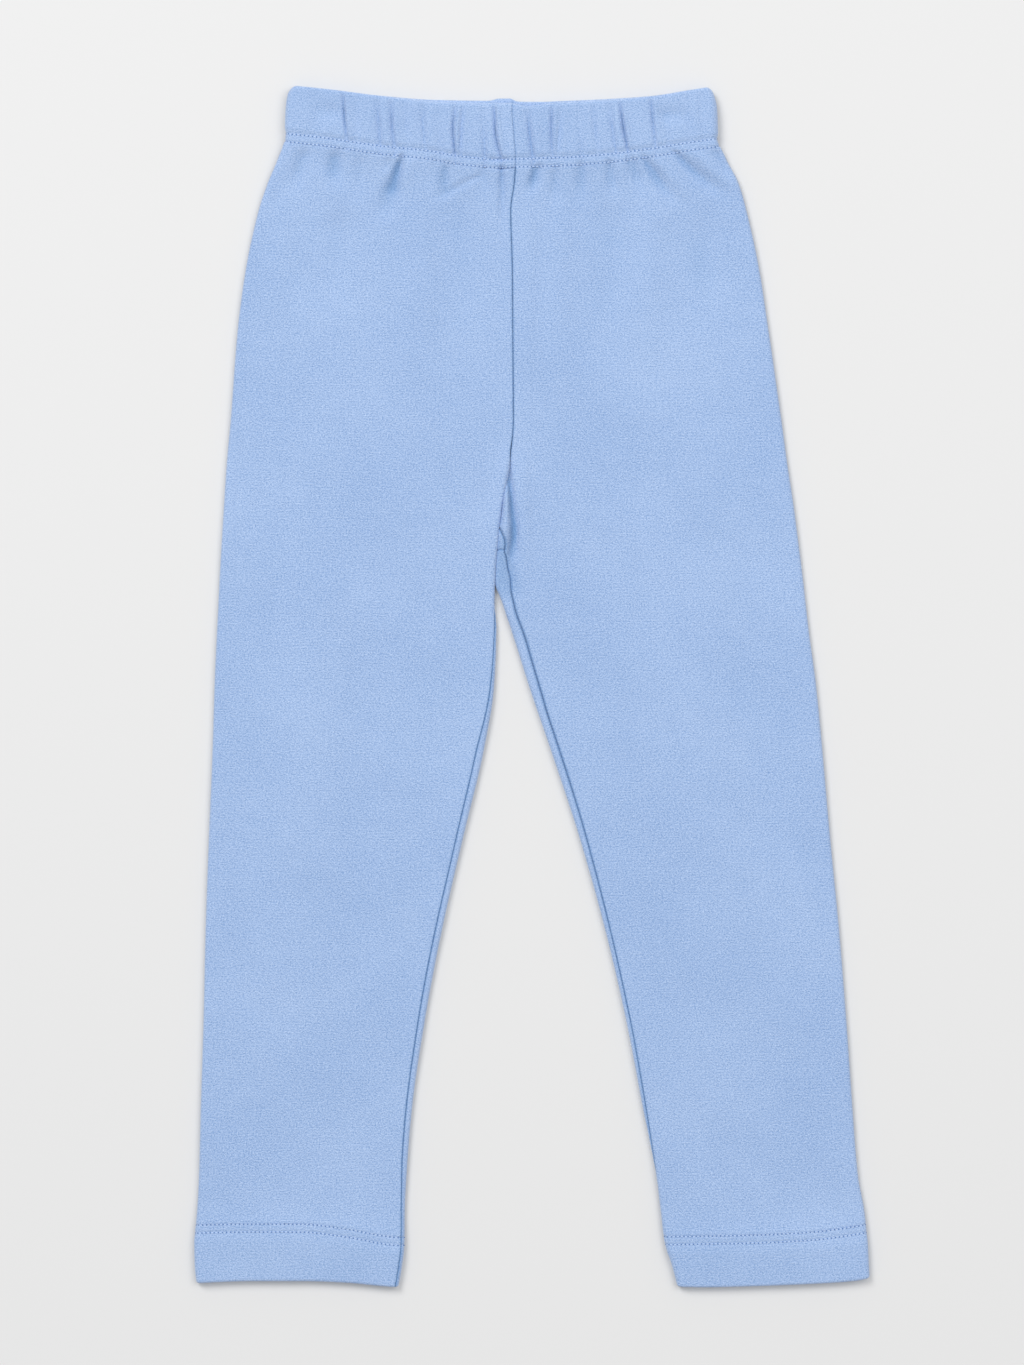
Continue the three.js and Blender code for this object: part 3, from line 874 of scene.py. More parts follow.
def placed(ring: Ring, y: np.ndarray, sunk: np.ndarray, deep: np.ndarray, slant: float = 0) -> Face:
    """A face from a ring whose points are moved in along their normals.

    Args:
        ring: The points before they are moved.
        y: Their heights along the garment.
        sunk: How far in each one goes.
        deep: How deep in a fold or a seam each one lies, from 0 to 1, which sets its painted shade.
        slant: How steeply the courses climb past the inner fold.

    Returns:
        The face.
    """
    sunk = np.where(ring.nz < 0, np.maximum(sunk, 0), sunk)
    level = ring.z - sunk
    held = LOWEST + LOWEST_EASE * np.log1p(np.exp((level - LOWEST) / LOWEST_EASE))
    open_front = (ring.nz > LEVEL) & (ring.z > LEG_HEIGHT - HELD_MARGIN)
    sunk = np.where(open_front & (level < LOWEST_REACH * LOWEST), ring.z - held, sunk)
    points = np.stack([ring.x - sunk * ring.nx, y, ring.z - sunk * ring.nz], axis=-1)
    normals = np.stack([ring.nx, 0 * y, ring.nz], axis=-1)
    knit = np.stack([ring.around, y - slant * ring.strip], axis=-1)
    return Face(points, points - KNIT * normals, normals, knit, deep)


def linear(colour: str) -> tuple[float, float, float, float]:
    """The linear colour of an sRGB hex value.

    Args:
        colour: Six hex digits.

    Returns:
        Red, green, blue and a full alpha.
    """
    parts = [int(colour[i : i + 2], 16) / 255 for i in (0, 2, 4)]
    return (*[c / 12.92 if c <= 0.04045 else ((c + 0.055) / 1.055) ** 2.4 for c in parts], 1.0)


def add_node(
    tree: bpy.types.NodeTree, kind: str, inputs: dict[int | str, Any] | None = None, **settings: Any
) -> bpy.types.Node:
    """Adds a node with its settings, values and links.

    Args:
        tree: The node tree.
        kind: The node's type after ShaderNode.
        inputs: What goes into each input, by name or number: a value, or an output to link.
        **settings: The node's own properties.

    Returns:
        The node.
    """
    node = tree.nodes.new(f"ShaderNode{kind}")
    for name, value in settings.items():
        setattr(node, name, value)
    for name, value in (inputs or {}).items():
        if isinstance(value, bpy.types.NodeSocket):
            tree.links.new(value, node.inputs[name])
        else:
            node.inputs[name].default_value = value
    return node


def new_material(name: str) -> tuple[bpy.types.Material, bpy.types.NodeTree]:
    """An empty material and its node tree."""
    material = bpy.data.materials.new(name)
    material.use_nodes = True
    material.node_tree.nodes.clear()
    return material, material.node_tree


def mix_colours(
    tree: bpy.types.NodeTree, share: bpy.types.NodeSocket, first: Any, second: Any, blend: str = "MIX"
) -> bpy.types.NodeSocket:
    """Adds a mix of two colours.

    Args:
        tree: The node tree.
        share: How much of the second colour there is.
        first: The first colour, as a hex value or an output.
        second: The second one.
        blend: The way they are mixed.

    Returns:
        The mixed colour.
    """
    ends = [linear(colour) if isinstance(colour, str) else colour for colour in (first, second)]
    mix = add_node(tree, "Mix", {0: share, 6: ends[0], 7: ends[1]}, data_type="RGBA", blend_type=blend)
    return mix.outputs[2]


def add_surface(tree: bpy.types.NodeTree, inputs: dict[int | str, Any]) -> None:
    """Adds a surface shader with these inputs and links it to the material's output."""
    shader = add_node(tree, "BsdfPrincipled", inputs)
    add_node(tree, "OutputMaterial", {"Surface": shader.outputs[0]})


class Grain(NamedTuple):
    """A noise: the size of its grain along the courses and the wales, and how much it counts."""

    x: float
    y: float
    share: float = 1.0


@dataclass(frozen=True)
class CottonInterlock:
    """Combed cotton interlock, piece dyed and left unbrushed.

    To the eye it is quite matt with a faint bloom at grazing angles. Its courses show as fine level
    lines, broken by the wales into small dashes that come and go in patches. A real course is about
    0.7 mm, too fine to show, so it is drawn about twice as coarse. A valley or a seam is painted a
    deeper blue, painted shade for the shadow in it and the light thrown from wall to wall, which takes on
    the dye.

    Attributes:
        light: The colour of the raised loops.
        shade: The colour between them.
        fold: The painted shade of a deep fold or a seam: what the colour there is multiplied by.
        course: Distance between the lines along the courses.
        wale: Distance between those along the wales.
        drift: How the lines wander.
        jitter: How a course breaks up. A wale has the same, turned by a quarter.
        patch: Where the lines turn into dashes.
        patched: How much of them does, at the least and at the most.
        clearness: Where the pattern comes and goes.
        clear: How strong it is, at the least and at the most.
        loop: Single loops that stand out.
        fibre: The fibres' own roughness.
        cloud: Cloudy tones about a centimetre wide.
        mottle: Faint broad tones.
        tones: The sum of all those at which the cloth is darkest and lightest.
        relief: Depth of the surface's grain.
        roughness: How matt it is.
        sheen: Strength of the bloom.
    """

    light: str = "B8CEF0"
    shade: str = "7C9CCB"
    fold: str = "B0CEDF"
    course: float = 1.4
    wale: float = 1.3
    drift: Grain = Grain(34, 34, 2.5)
    jitter: Grain = Grain(5, 2.5, 0.6)
    patch: Grain = Grain(8, 8)
    patched: tuple[float, float] = (0.25, 0.85)
    clearness: Grain = Grain(11, 6)
    clear: tuple[float, float] = (0.16, 0.34)
    loop: Grain = Grain(1.5, 0.85, 1.5)
    fibre: Grain = Grain(0.7, 0.56, 5.0)
    cloud: Grain = Grain(9, 7, 0.35)
    mottle: Grain = Grain(60, 60, 0.8)
    tones: tuple[float, float] = (2.65, 5.05)
    relief: float = 0.12
    roughness: float = 0.95
    sheen: float = 0.5

    def material(self) -> bpy.types.Material:
        """The material, whose pattern follows the cloth's own map in metres.

        Returns:
            The material.
        """
        material, tree = new_material("cotton_interlock")
        knit = add_node(tree, "UVMap", uv_map=KNIT_MAP).outputs[0]

        def scaled(x: float, y: float) -> bpy.types.NodeSocket:
            """The cloth's map with these lengths as its units, in millimetres."""
            units = (1 / (x * MM), 1 / (y * MM), 0)
            return add_node(tree, "VectorMath", {0: knit, 1: units}, operation="MULTIPLY").outputs[0]

        def noise(x: float, y: float, detail: float = 1.0) -> bpy.types.NodeSocket:
            """Noise with a grain of this size."""
            inputs = {"Vector": scaled(x, y), "Scale": 1.0, "Detail": detail}
            return add_node(tree, "TexNoise", inputs).outputs["Fac"]

        def maths(operation: str, *values: Any) -> bpy.types.NodeSocket:
            """The result of one operation on some values."""
            return add_node(tree, "Math", dict(enumerate(values)), operation=operation).outputs[0]

        def with_noise(
            grain: Grain, under: bpy.types.NodeSocket, detail: float = 1.0
        ) -> bpy.types.NodeSocket:
            """A value with its share of a noise on top."""
            return maths("MULTIPLY_ADD", noise(grain.x, grain.y, detail), grain.share, under)

        def ranged(
            value: bpy.types.NodeSocket, low: float, high: float, wanted: tuple[float, float] = (0.0, 1.0)
        ) -> bpy.types.NodeSocket:
            """A value carried over from low and high to the wanted range."""
            ends = {"From Min": low, "From Max": high, "To Min": wanted[0], "To Max": wanted[1]}
            return add_node(tree, "MapRange", {"Value": value, **ends}).outputs[0]

        def ripple(along: bpy.types.NodeSocket, jitter: bpy.types.NodeSocket) -> bpy.types.NodeSocket:
            """Lines one unit apart, as a wave from -1 to 1, that wander and break up a little."""
            broken = maths("MULTIPLY_ADD", jitter, self.jitter.share, along)
            moved = maths("MULTIPLY_ADD", drift, self.drift.share, broken)
            return maths("SINE", maths("MULTIPLY", moved, 2 * math.pi))

        drift = noise(self.drift.x, self.drift.y)
        loops = add_node(tree, "SeparateXYZ", {0: scaled(self.wale, self.course)})
        course = ripple(loops.outputs["Y"], noise(self.jitter.x, self.jitter.y))
        wale = ripple(loops.outputs["X"], noise(self.jitter.y, self.jitter.x))
        dash = maths("MULTIPLY", course, wale)
        checked = ranged(noise(self.patch.x, self.patch.y), 0.3, 0.7, self.patched)
        raised = add_node(tree, "Mix", {0: checked, 2: course, 3: dash}, data_type="FLOAT").outputs[0]
        clear = ranged(noise(self.clearness.x, self.clearness.y), 0.35, 0.65, self.clear)
        pattern = maths("MULTIPLY", raised, clear)
        surface = with_noise(self.fibre, with_noise(self.loop, pattern))
        tone = with_noise(self.mottle, with_noise(self.cloud, surface), 2.0)

        colour = mix_colours(tree, ranged(tone, *self.tones), self.shade, self.light)
        deep = add_node(tree, "Attribute", attribute_name=PAINTED_SHADE_ATTR, attribute_type="GEOMETRY").outputs["Fac"]
        bump = add_node(tree, "Bump", {"Height": surface, "Strength": 0.6, "Distance": self.relief * MM})
        inputs = {
            # painted shade: the colour is multiplied by the fold colour in deep folds and seams
            "Base Color": mix_colours(tree, deep, colour, self.fold, "MULTIPLY"),
            "Roughness": self.roughness,
            "Specular IOR Level": 0.2,
            "Sheen Weight": self.sheen,
            "Sheen Roughness": 0.5,
            "Normal": bump.outputs[0],
        }
        add_surface(tree, inputs)
        return material


@dataclass(frozen=True)
class SewingThread:
    """Spun polyester sewing thread, dyed to the cloth.

    To the eye it is a soft cord a little lighter than the cloth. Where it dives into a needle hole it
    is painted dark, painted shade of the hole.

    Attributes:
        crown: The colour where its twist stands up.
        strand: The colour between the twists.
        hole: The painted shade in a needle hole, and on the thread's ends that dive into it.
        twist: Length of one twist.
        roughness: How matt it is.
    """

    crown: str = "C4D7F5"
    strand: str = "A9C3EA"
    hole: str = "6186C0"
    twist: float = 0.4
    roughness: float = 0.8

    def material(self) -> bpy.types.Material:
        """The material, which paints shade on the thread by how deep in its hole each point lies.

        Returns:
            The material.
        """
        material, tree = new_material("sewing_thread")
        depth = add_node(tree, "Attribute", attribute_name=PAINTED_HOLE_ATTR, attribute_type="GEOMETRY").outputs["Fac"]
        place = add_node(tree, "TexCoord").outputs["Object"]
        noise = {"Vector": place, "Scale": 1 / (self.twist * MM), "Detail": 1.0}
        twist = add_node(tree, "TexNoise", noise).outputs["Fac"]
        thread = mix_colours(tree, twist, self.strand, self.crown)
        inputs = {
            # painted shade of the needle holes and of the thread's ends
            "Base Color": mix_colours(tree, depth, thread, self.hole),
            "Roughness": self.roughness,
            "Specular IOR Level": 0.3,
            "Sheen Weight": 0.1,
        }
        add_surface(tree, inputs)
        return material


@dataclass(frozen=True)
class SeamlessPaper:
    """Matt seamless paper, which reads as one even pale grey with no visible grain."""

    pale: str = "DFDFDF"
    shade: str = "DEDEDE"

    def material(self) -> bpy.types.Material:
        """The material.

        Returns:
            The material.
        """
        material, tree = new_material("seamless_paper")
        place = add_node(tree, "TexCoord").outputs["Object"]
        cloud = add_node(tree, "TexNoise", {"Vector": place, "Scale": 3.0, "Detail": 1.0}).outputs["Fac"]
        colour = mix_colours(tree, cloud, self.shade, self.pale)
        add_surface(tree, {"Base Color": colour, "Roughness": 0.9, "Specular IOR Level": 0.1})
        return material


def select_only(*objects: bpy.types.Object) -> None:
    """Deselects all, then selects these and makes the first one active."""
    bpy.ops.object.select_all(action="DESELECT")
    for obj in objects:
        obj.select_set(True)
    bpy.context.view_layer.objects.active = objects[0]


def make_sheet(name: str, face: Face, flip: bool) -> bpy.types.Object:
    """A thin shell of cloth: a grid laid on a face, sewn where its edges meet, and given its thickness.

    Args:
        name: The piece's name.
        face: Its faces, in rows from the foot up.
        flip: Whether the columns run the other way round, as on the right half.

    Returns:
        The piece.
    """
    rows, columns = face.points.shape[:2]
    bpy.ops.object.select_all(action="DESELECT")
    bpy.ops.mesh.primitive_grid_add(
        x_subdivisions=columns - 1, y_subdivisions=rows - 1, size=2, calc_uvs=True
    )
    sheet = bpy.context.object
    sheet.name = name
    mesh = sheet.data
    mesh.name = name
    flat = read(mesh.vertices, "co", 3)
    column = np.rint((flat[:, 0] + 1) / 2 * (columns - 1)).astype(int)
    row = np.rint((flat[:, 1] + 1) / 2 * (rows - 1)).astype(int)
    if flip:
        column = columns - 1 - column
    place = row * columns + column
    mesh.vertices.foreach_set("co", (face.points.reshape(-1, 3)[place] * MM).ravel())
    mesh.attributes.new(PLACE, "INT", "POINT").data.foreach_set("value", place)
    # painted shade of folds and seams, stored for the material
    mesh.attributes.new(PAINTED_SHADE_ATTR, "FLOAT", "POINT").data.foreach_set("value", face.deep.ravel()[place])
    corner = read(mesh.loops, "vertex_index", 1, int)[:, 0]
    knit = mesh.uv_layers[0]
    knit.name = KNIT_MAP
    knit.data.foreach_set("uv", (face.knit.reshape(-1, 2)[place[corner]] * MM).ravel())
    mesh.update()

    select_only(sheet)
    bpy.ops.object.mode_set(mode="EDIT")
    bpy.ops.mesh.select_all(action="SELECT")
    bpy.ops.mesh.remove_doubles(threshold=0.01 * MM)
    bpy.ops.object.mode_set(mode="OBJECT")
    outer = len(mesh.vertices)
    wall = sheet.modifiers.new("wall", "SOLIDIFY")
    wall.thickness = KNIT * MM
    wall.offset = -1
    bpy.ops.object.modifier_apply(modifier=wall.name)
    spots = read(mesh.vertices, "co", 3)
    place = read(mesh.attributes[PLACE].data, "value", 1, int)[:, 0]
    spots[outer:] = face.inside.reshape(-1, 3)[place[outer:]] * MM
    mesh.vertices.foreach_set("co", spots.ravel())
    mesh.attributes.remove(mesh.attributes[PLACE])
    mesh.update()
    bpy.ops.object.shade_smooth()
    return sheet


def read(items: Any, name: str, size: int, kind: type = float) -> np.ndarray:
    """One property of all of a mesh's items.

    Args:
        items: The mesh's vertices, loops or the like.
        name: The property.
        size: How many numbers each item has.
        kind: The numbers' type.

    Returns:
        A row for each item.
    """
    values = np.empty(len(items) * size, kind)
    items.foreach_get(name, values)
    return values.reshape(-1, size)


def dress(piece: bpy.types.Object, material: bpy.types.Material) -> None:
    """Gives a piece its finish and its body."""
    piece.data.materials.clear()
    piece.data.materials.append(material)
    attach(piece, "root")


@dataclass
class Panel:
    """A piece of cloth that runs round one half of the flattened garment.

    Attributes:
        half: Which half it is on.
    """

    half: Half

    def height(self, x: np.ndarray, y: np.ndarray) -> np.ndarray:
        """The front's height over the surface."""
        raise NotImplementedError

    def relief(self, ring: Ring, y: np.ndarray) -> tuple[np.ndarray, np.ndarray]:
        """How far each point is pressed in, and how deep in a fold or a seam it lies, from 0 to 1, which
        sets its painted shade.
        """
        raise NotImplementedError

    def face(self) -> Face:
        """The cloth's outer face."""
        raise NotImplementedError

    def run(self, line: Line) -> tuple[np.ndarray, np.ndarray]:
        """A line's course over the outer face, from one seam edge round to the other.

        Args:
            line: The height along the garment at x, by how much of a point is on the front.

        Returns:
            The line's points and the outward normals there.
        """
        start = float(line(np.array([self.half.out * READ_AT]), np.array([1.0]))[0])
        ring, y = settle(self.half, self.height, self.columns, line, 1, start)
        face = placed(ring, y, *self.relief(ring, y))
        return face.points[0], face.normals[0]

    def build(self, kind: str) -> bpy.types.Object:
        """Builds the piece of cloth.

        Args:
            kind: What it is, after the half's name.

        Returns:
            The piece.
        """
        face = self.face()
        face.close_inseam()
        face.knit[...] += CUT_APART * (self.half.out > 0)
        return make_sheet(f"{self.half.name}_{kind}_cloth", face, self.half.out < 0)


@dataclass
class TurnedEnd(Panel):
    """A panel's end that is turned over, so its inner face runs round the turn on a radius of its own."""

    def skin(self, wall: float) -> Face:
        """One side of the cloth, this deep in it, in rows from the foot up."""
        raise NotImplementedError

    def face(self) -> Face:
        """The outer face with the inner one."""
        return replace(self.skin(0), inside=self.skin(KNIT).points)


@dataclass
class Leg(Panel):
    """A leg's panel from the casing to the hem, sewn into a tube along its inseam.

    Attributes:
        columns: How its rings are spread.
        rise_rows: Places of its rows from the casing to the crotch, and how far apart they are there.
        leg_rows: The same from the crotch to the hem.
        slant: How steeply the courses climb past the inner fold.
    """

    columns: Columns = Columns(front=102, back=32, inner=14, grading=1.5)
    rise_rows: Rows = ((0, 30, 110, 145, 183, 187), (0.7, 1.4, 3, 1.4, 1, 0.3))
    leg_rows: Rows = ((0, 3, 6, 30, 70, 310, 336), (0.3, 0.3, 1, 2, 3.6, 3.2, 0.5))
    slant: float = 0.5

    def height(self, x: np.ndarray, y: np.ndarray) -> np.ndarray:
        """The front's height over the surface."""
        return leg_height(self.half, x, y)

    def face(self) -> Face:
        """The outer face, from the hem up to the casing.

        Returns:
            The face.
        """
        rise = graded(*self.rise_rows)
        leg = graded(*self.leg_rows)
        down = np.concatenate([[0, 0], rise[:-1] / rise[-1], 1 + leg / leg[-1], [2, 2]])[:, None]
        past = np.zeros_like(down)
        sunk = np.zeros_like(down)
        ends = np.array(LEG_ENDS)
        past[: len(ends), 0] = ends[:, 0]
        past[-len(ends) :, 0] = -ends[::-1, 0]
        sunk[: len(ends), 0] = ends[:, 1]
        sunk[-len(ends) :, 0] = ends[::-1, 1]

        def line(x: np.ndarray, front: np.ndarray) -> np.ndarray:
            """Each row's own line, between those of the casing's foot, the crotch and the hem."""
            above = lerp(casing_foot(x, front), crotch_line(x, front), down)
            below = lerp(crotch_line(x, front), leg_foot(x, front), down - 1)
            return np.where(down < 1, above, below) + past

        ring, y = settle(self.half, self.height, self.columns, line, len(down), CROTCH)
        relief, deep = self.relief(ring, y)
        face = placed(ring, y, relief + sunk, deep, self.slant)
        parts = (face.points, face.inside, face.normals, face.knit, face.deep)
        return Face(*(part[::-1] for part in parts))

    def relief(self, ring: Ring, y: np.ndarray) -> tuple[np.ndarray, np.ndarray]:
        """How far each point is pressed in by creases, seams and stitching.

        Args:
            ring: The points.
            y: Their heights along the garment.

        Returns:
            The depths, and how deep in a fold or a seam each point lies, from 0 to 1, for its painted shade.
        """
        front = ring.front * np.abs(ring.nz)
        back = (1 - ring.front) * np.abs(ring.nz)
        dents = dent_depth(ring.x, y)
        creases = crease_depth(ring.x, y, self.half.out) + dents
        hidden = BACK_CREASES * crease_depth(BACK_MIRROR - ring.x, y, -self.half.out)
        below = casing_foot(ring.x, ring.front) - y
        carried = np.exp(-np.maximum(below, 0) / GATHER_CARRY)
        gathers = GATHER_FOOT * gather_depth(ring.x, np.ones_like(y)) * carried
        rows = row_dip(below) + row_dip(y - leg_foot(ring.x, ring.front))
        # painted shade: each fold's trough, widened and moved towards its flank away from the main lamp, and
        # each seam's line
        troughs = crease_depth(ring.x + SHADE_SHIFT, y, self.half.out, 0, SHADE_SPREAD) + dents
        deep = FOLD_SHADE * smooth(front * (troughs + gathers), *PAINTED_FOLD_DEPTHS)
        groove = 1
        if self.half.side is Side.LEFT:
            groove = lerp(1, CROTCH_GROOVE, smooth(y, *GROOVE_FOOT) * (1 - smooth(y, *GROOVE_HEAD)))
        deep = np.maximum(deep, bell(ring.off, SEAM_SHADE * groove))
        dips = front * (creases + gathers) + back * hidden + seam_dip(ring.off, groove) + rows
        if self.half.side is Side.LEFT:
            on_front = ring.front > 0.5
            lapped = smooth(y, *LAP_EASE) * (1 - smooth(y, *RIGHT.lap))
            dips += LAP_DIP * lapped * bell(ring.off, LAP_HALF) * on_front
            cross = bell(y - CROTCH + CROSS_DROP, CROSS_HALF) * smooth(ring.strip, *CROSS_EASE)
            dips += CROSS_SINK * cross
            # painted shade on the left leg's strip, which lies in the shadow of the right half's edge, and
            # on the seam across it
            strip = np.where(ring.strip > 0, 1, bell(ring.off, STRIP_HALF) * on_front)
            deep = np.maximum(deep, np.maximum(cross, STRIP_SHADE * strip_low(y) * strip))
        return dips, deep


@dataclass
class WaistCasing(TurnedEnd):
    """Half of the waist casing: the panel's top turned over the elastic, gathered and stitched down.

    Attributes:
        columns: How its rings are spread.
        outer_rows: Places of its rows down from the top edge, and how far apart they are there.
        turn_steps: Steps round the top fold.
        inner_rows: Rows inside.
    """

    columns: Columns = Columns(front=230, back=90, inner=4)
    outer_rows: Rows = ((1.6, 6, 18, 25, 31.5), (0.8, 1.1, 1.1, 0.35, 0.35))
    turn_steps: int = 9
    inner_rows: int = 8

    def height(self, x: np.ndarray, y: np.ndarray) -> np.ndarray:
        """The front's height over the surface."""
        return np.full_like(x, CASING_HEIGHT)

    def skin(self, wall: float) -> Face:
        """One side of the cloth, from the foot up, over the top and down inside.

        Args:
            wall: How deep in the cloth it lies.

        Returns:
            The side as a face.
        """
        radius = CASING / 2
        depth = graded(*self.outer_rows)
        angle = np.linspace(0, np.pi, self.turn_steps + 1)[1:-1]
        inside = np.linspace(radius, depth[-1] * 0.85, self.inner_rows)
        facing = np.concatenate([1 + 0 * depth, np.cos(angle), -1 + 0 * inside])[:, None]
        turn = radius - (radius - wall) * np.sin(angle)
        down = np.concatenate([depth[::-1], turn, inside])[:, None] / depth[-1]
        inset = radius - (radius - wall) * facing

        def line(x: np.ndarray, front: np.ndarray) -> np.ndarray:
            """Each row's own line, between the top edge and the foot."""
            return lerp(casing_top(x, front), casing_foot(x, front), down)

        ring, y = settle(self.half, self.height, self.columns, line, len(down), CASING_MIDDLE)
        relief, deep = self.relief(ring, y)
        face = placed(ring, y, inset + np.clip(facing, 0, 1) * relief, deep)
        face.knit[..., 1] = casing_foot(ring.x, ring.front) + (1 - down) * depth[-1]
        return face

    def relief(self, ring: Ring, y: np.ndarray) -> tuple[np.ndarray, np.ndarray]:
        """How far each point is pressed in by gathers, dents, the seam and stitching.

        Args:
            ring: The points.
            y: Their heights along the garment.

        Returns:
            The depths, and how deep in a fold or a seam each point lies, from 0 to 1, for its painted shade.
        """
        front = ring.front * np.abs(ring.nz)
        back = (1 - ring.front) * np.abs(ring.nz)
        row = waist_row(ring.x, ring.front)
        above = y - row
        share = np.clip(1 - above / (casing_top(ring.x, ring.front) - row), 0, 1)
        at_foot = 1 - (1 - GATHER_FOOT) * smooth(-above, *GATHER_EASE)
        eased = at_foot * lerp(GATHER_TOP, 1, smooth(share, *GATHER_TURN))
        gathers = gather_depth(ring.x, share) * eased
        hidden = BACK_GATHERS * gather_depth(BACK_MIRROR - ring.x, share) * eased
        carried = 1 - smooth(above + NEEDLE_GAUGE, 0, CREASE_CARRY)
        dents = dent_depth(ring.x, y) + crease_depth(ring.x, y, self.half.out) * carried
        if self.half.side is Side.RIGHT:
            covered = 1 - smooth(ring.off, ALLOWANCE - ALLOWANCE_EDGE, ALLOWANCE)
            dents -= ALLOWANCE_RISE * covered * smooth(ring.off, 0, ALLOWANCE_START)
        sunk = (STITCH_SINK - BAND_SINK) * smooth(-above, *STITCH_EASE)
        rows = row_dip(above) + row_dip(above + NEEDLE_GAUGE)
        band = BAND_SINK * smooth(-above, NEEDLE_GAUGE - 1, NEEDLE_GAUGE)
        seam = CASING_GROOVE * seam_dip(ring.off)
        # painted shade in the gathers and dents, and faintly along the seam
        deep = FOLD_SHADE * smooth(front * (gathers + dents), *PAINTED_FOLD_DEPTHS)
        deep = np.maximum(deep, CASING_SEAM_SHADE * bell(ring.off, SEAM_SHADE))
        return front * (gathers + dents) + back * hidden + seam + sunk + rows + band, deep


@dataclass
class Hem(TurnedEnd):
    """A turned hem: the leg's end folded up inside itself and held by the twin needle.

    Attributes:
        columns: How its rings are spread.
        outer_rows: Places of its rows down from the upper stitch row, and how far apart they are there.
        turn_steps: Steps round the turned edge.
        inner_rows: Rows inside.
    """

    columns: Columns = Columns(front=84, back=48, inner=10)
    outer_rows: Rows = ((0, 5.5, 10, 26), (0.35, 0.45, 1.2, 0.9))
    turn_steps: int = 8
    inner_rows: int = 8

    def height(self, x: np.ndarray, y: np.ndarray) -> np.ndarray:
        """The front's height over the surface."""
        return np.full_like(x, HEM_HEIGHT - HEM_SINK)

    def skin(self, wall: float) -> Face:
        """One side of the cloth, from inside down to the turned edge and up to the leg.

        Args:
            wall: How deep in the cloth it lies.

        Returns:
            The side as a face.
        """
        radius = HEM / 2
        depth = graded(*self.outer_rows)
        whole = depth[-1] + radius
        angle = np.linspace(np.pi, 0, self.turn_steps + 1)[1:-1]
        inside = np.linspace(0.1 * whole, depth[-1], self.inner_rows)
        facing = np.concatenate([-1 + 0 * inside, np.cos(angle), 1 + 0 * depth])[:, None]
        reach = depth[-1] + (radius - wall) * np.sin(angle)
        down = np.concatenate([inside, reach, depth[::-1]])[:, None] / whole
        inset = radius - (radius - wall) * facing

        def line(x: np.ndarray, front: np.ndarray) -> np.ndarray:
            """Each row's own line, between the upper stitch row and the turned edge."""
            return lerp(hem_stitch(x), hem_edge(x), down)

        ring, y = settle(self.half, self.height, self.columns, line, len(down), HEM_MIDDLE)
        relief, deep = self.relief(ring, y)
        return placed(ring, y, inset + np.clip(facing, 0, 1) * relief, deep)

    def relief(self, ring: Ring, y: np.ndarray) -> tuple[np.ndarray, np.ndarray]:
        """How far each point is pressed in by the seam and stitching.

        Args:
            ring: The points.
            y: Their heights along the garment.

        Returns:
            The depths, and how deep in the seam each point lies, from 0 to 1, for its painted shade.
        """
        below = hem_stitch(ring.x) - y
        full = (HEM_SINK + HEM_FULLER) * smooth(below, NEEDLE_GAUGE, NEEDLE_GAUGE + HEM_EASE) * ring.front
        rows = row_dip(below) + row_dip(below - NEEDLE_GAUGE)
        sag = HEM_SAG * ring.front * crease_depth(ring.x, y, self.half.out)
        # the second value is painted shade along the seam
        return seam_dip(ring.off) + rows - full + sag, bell(ring.off, SEAM_SHADE) * np.ones_like(y)


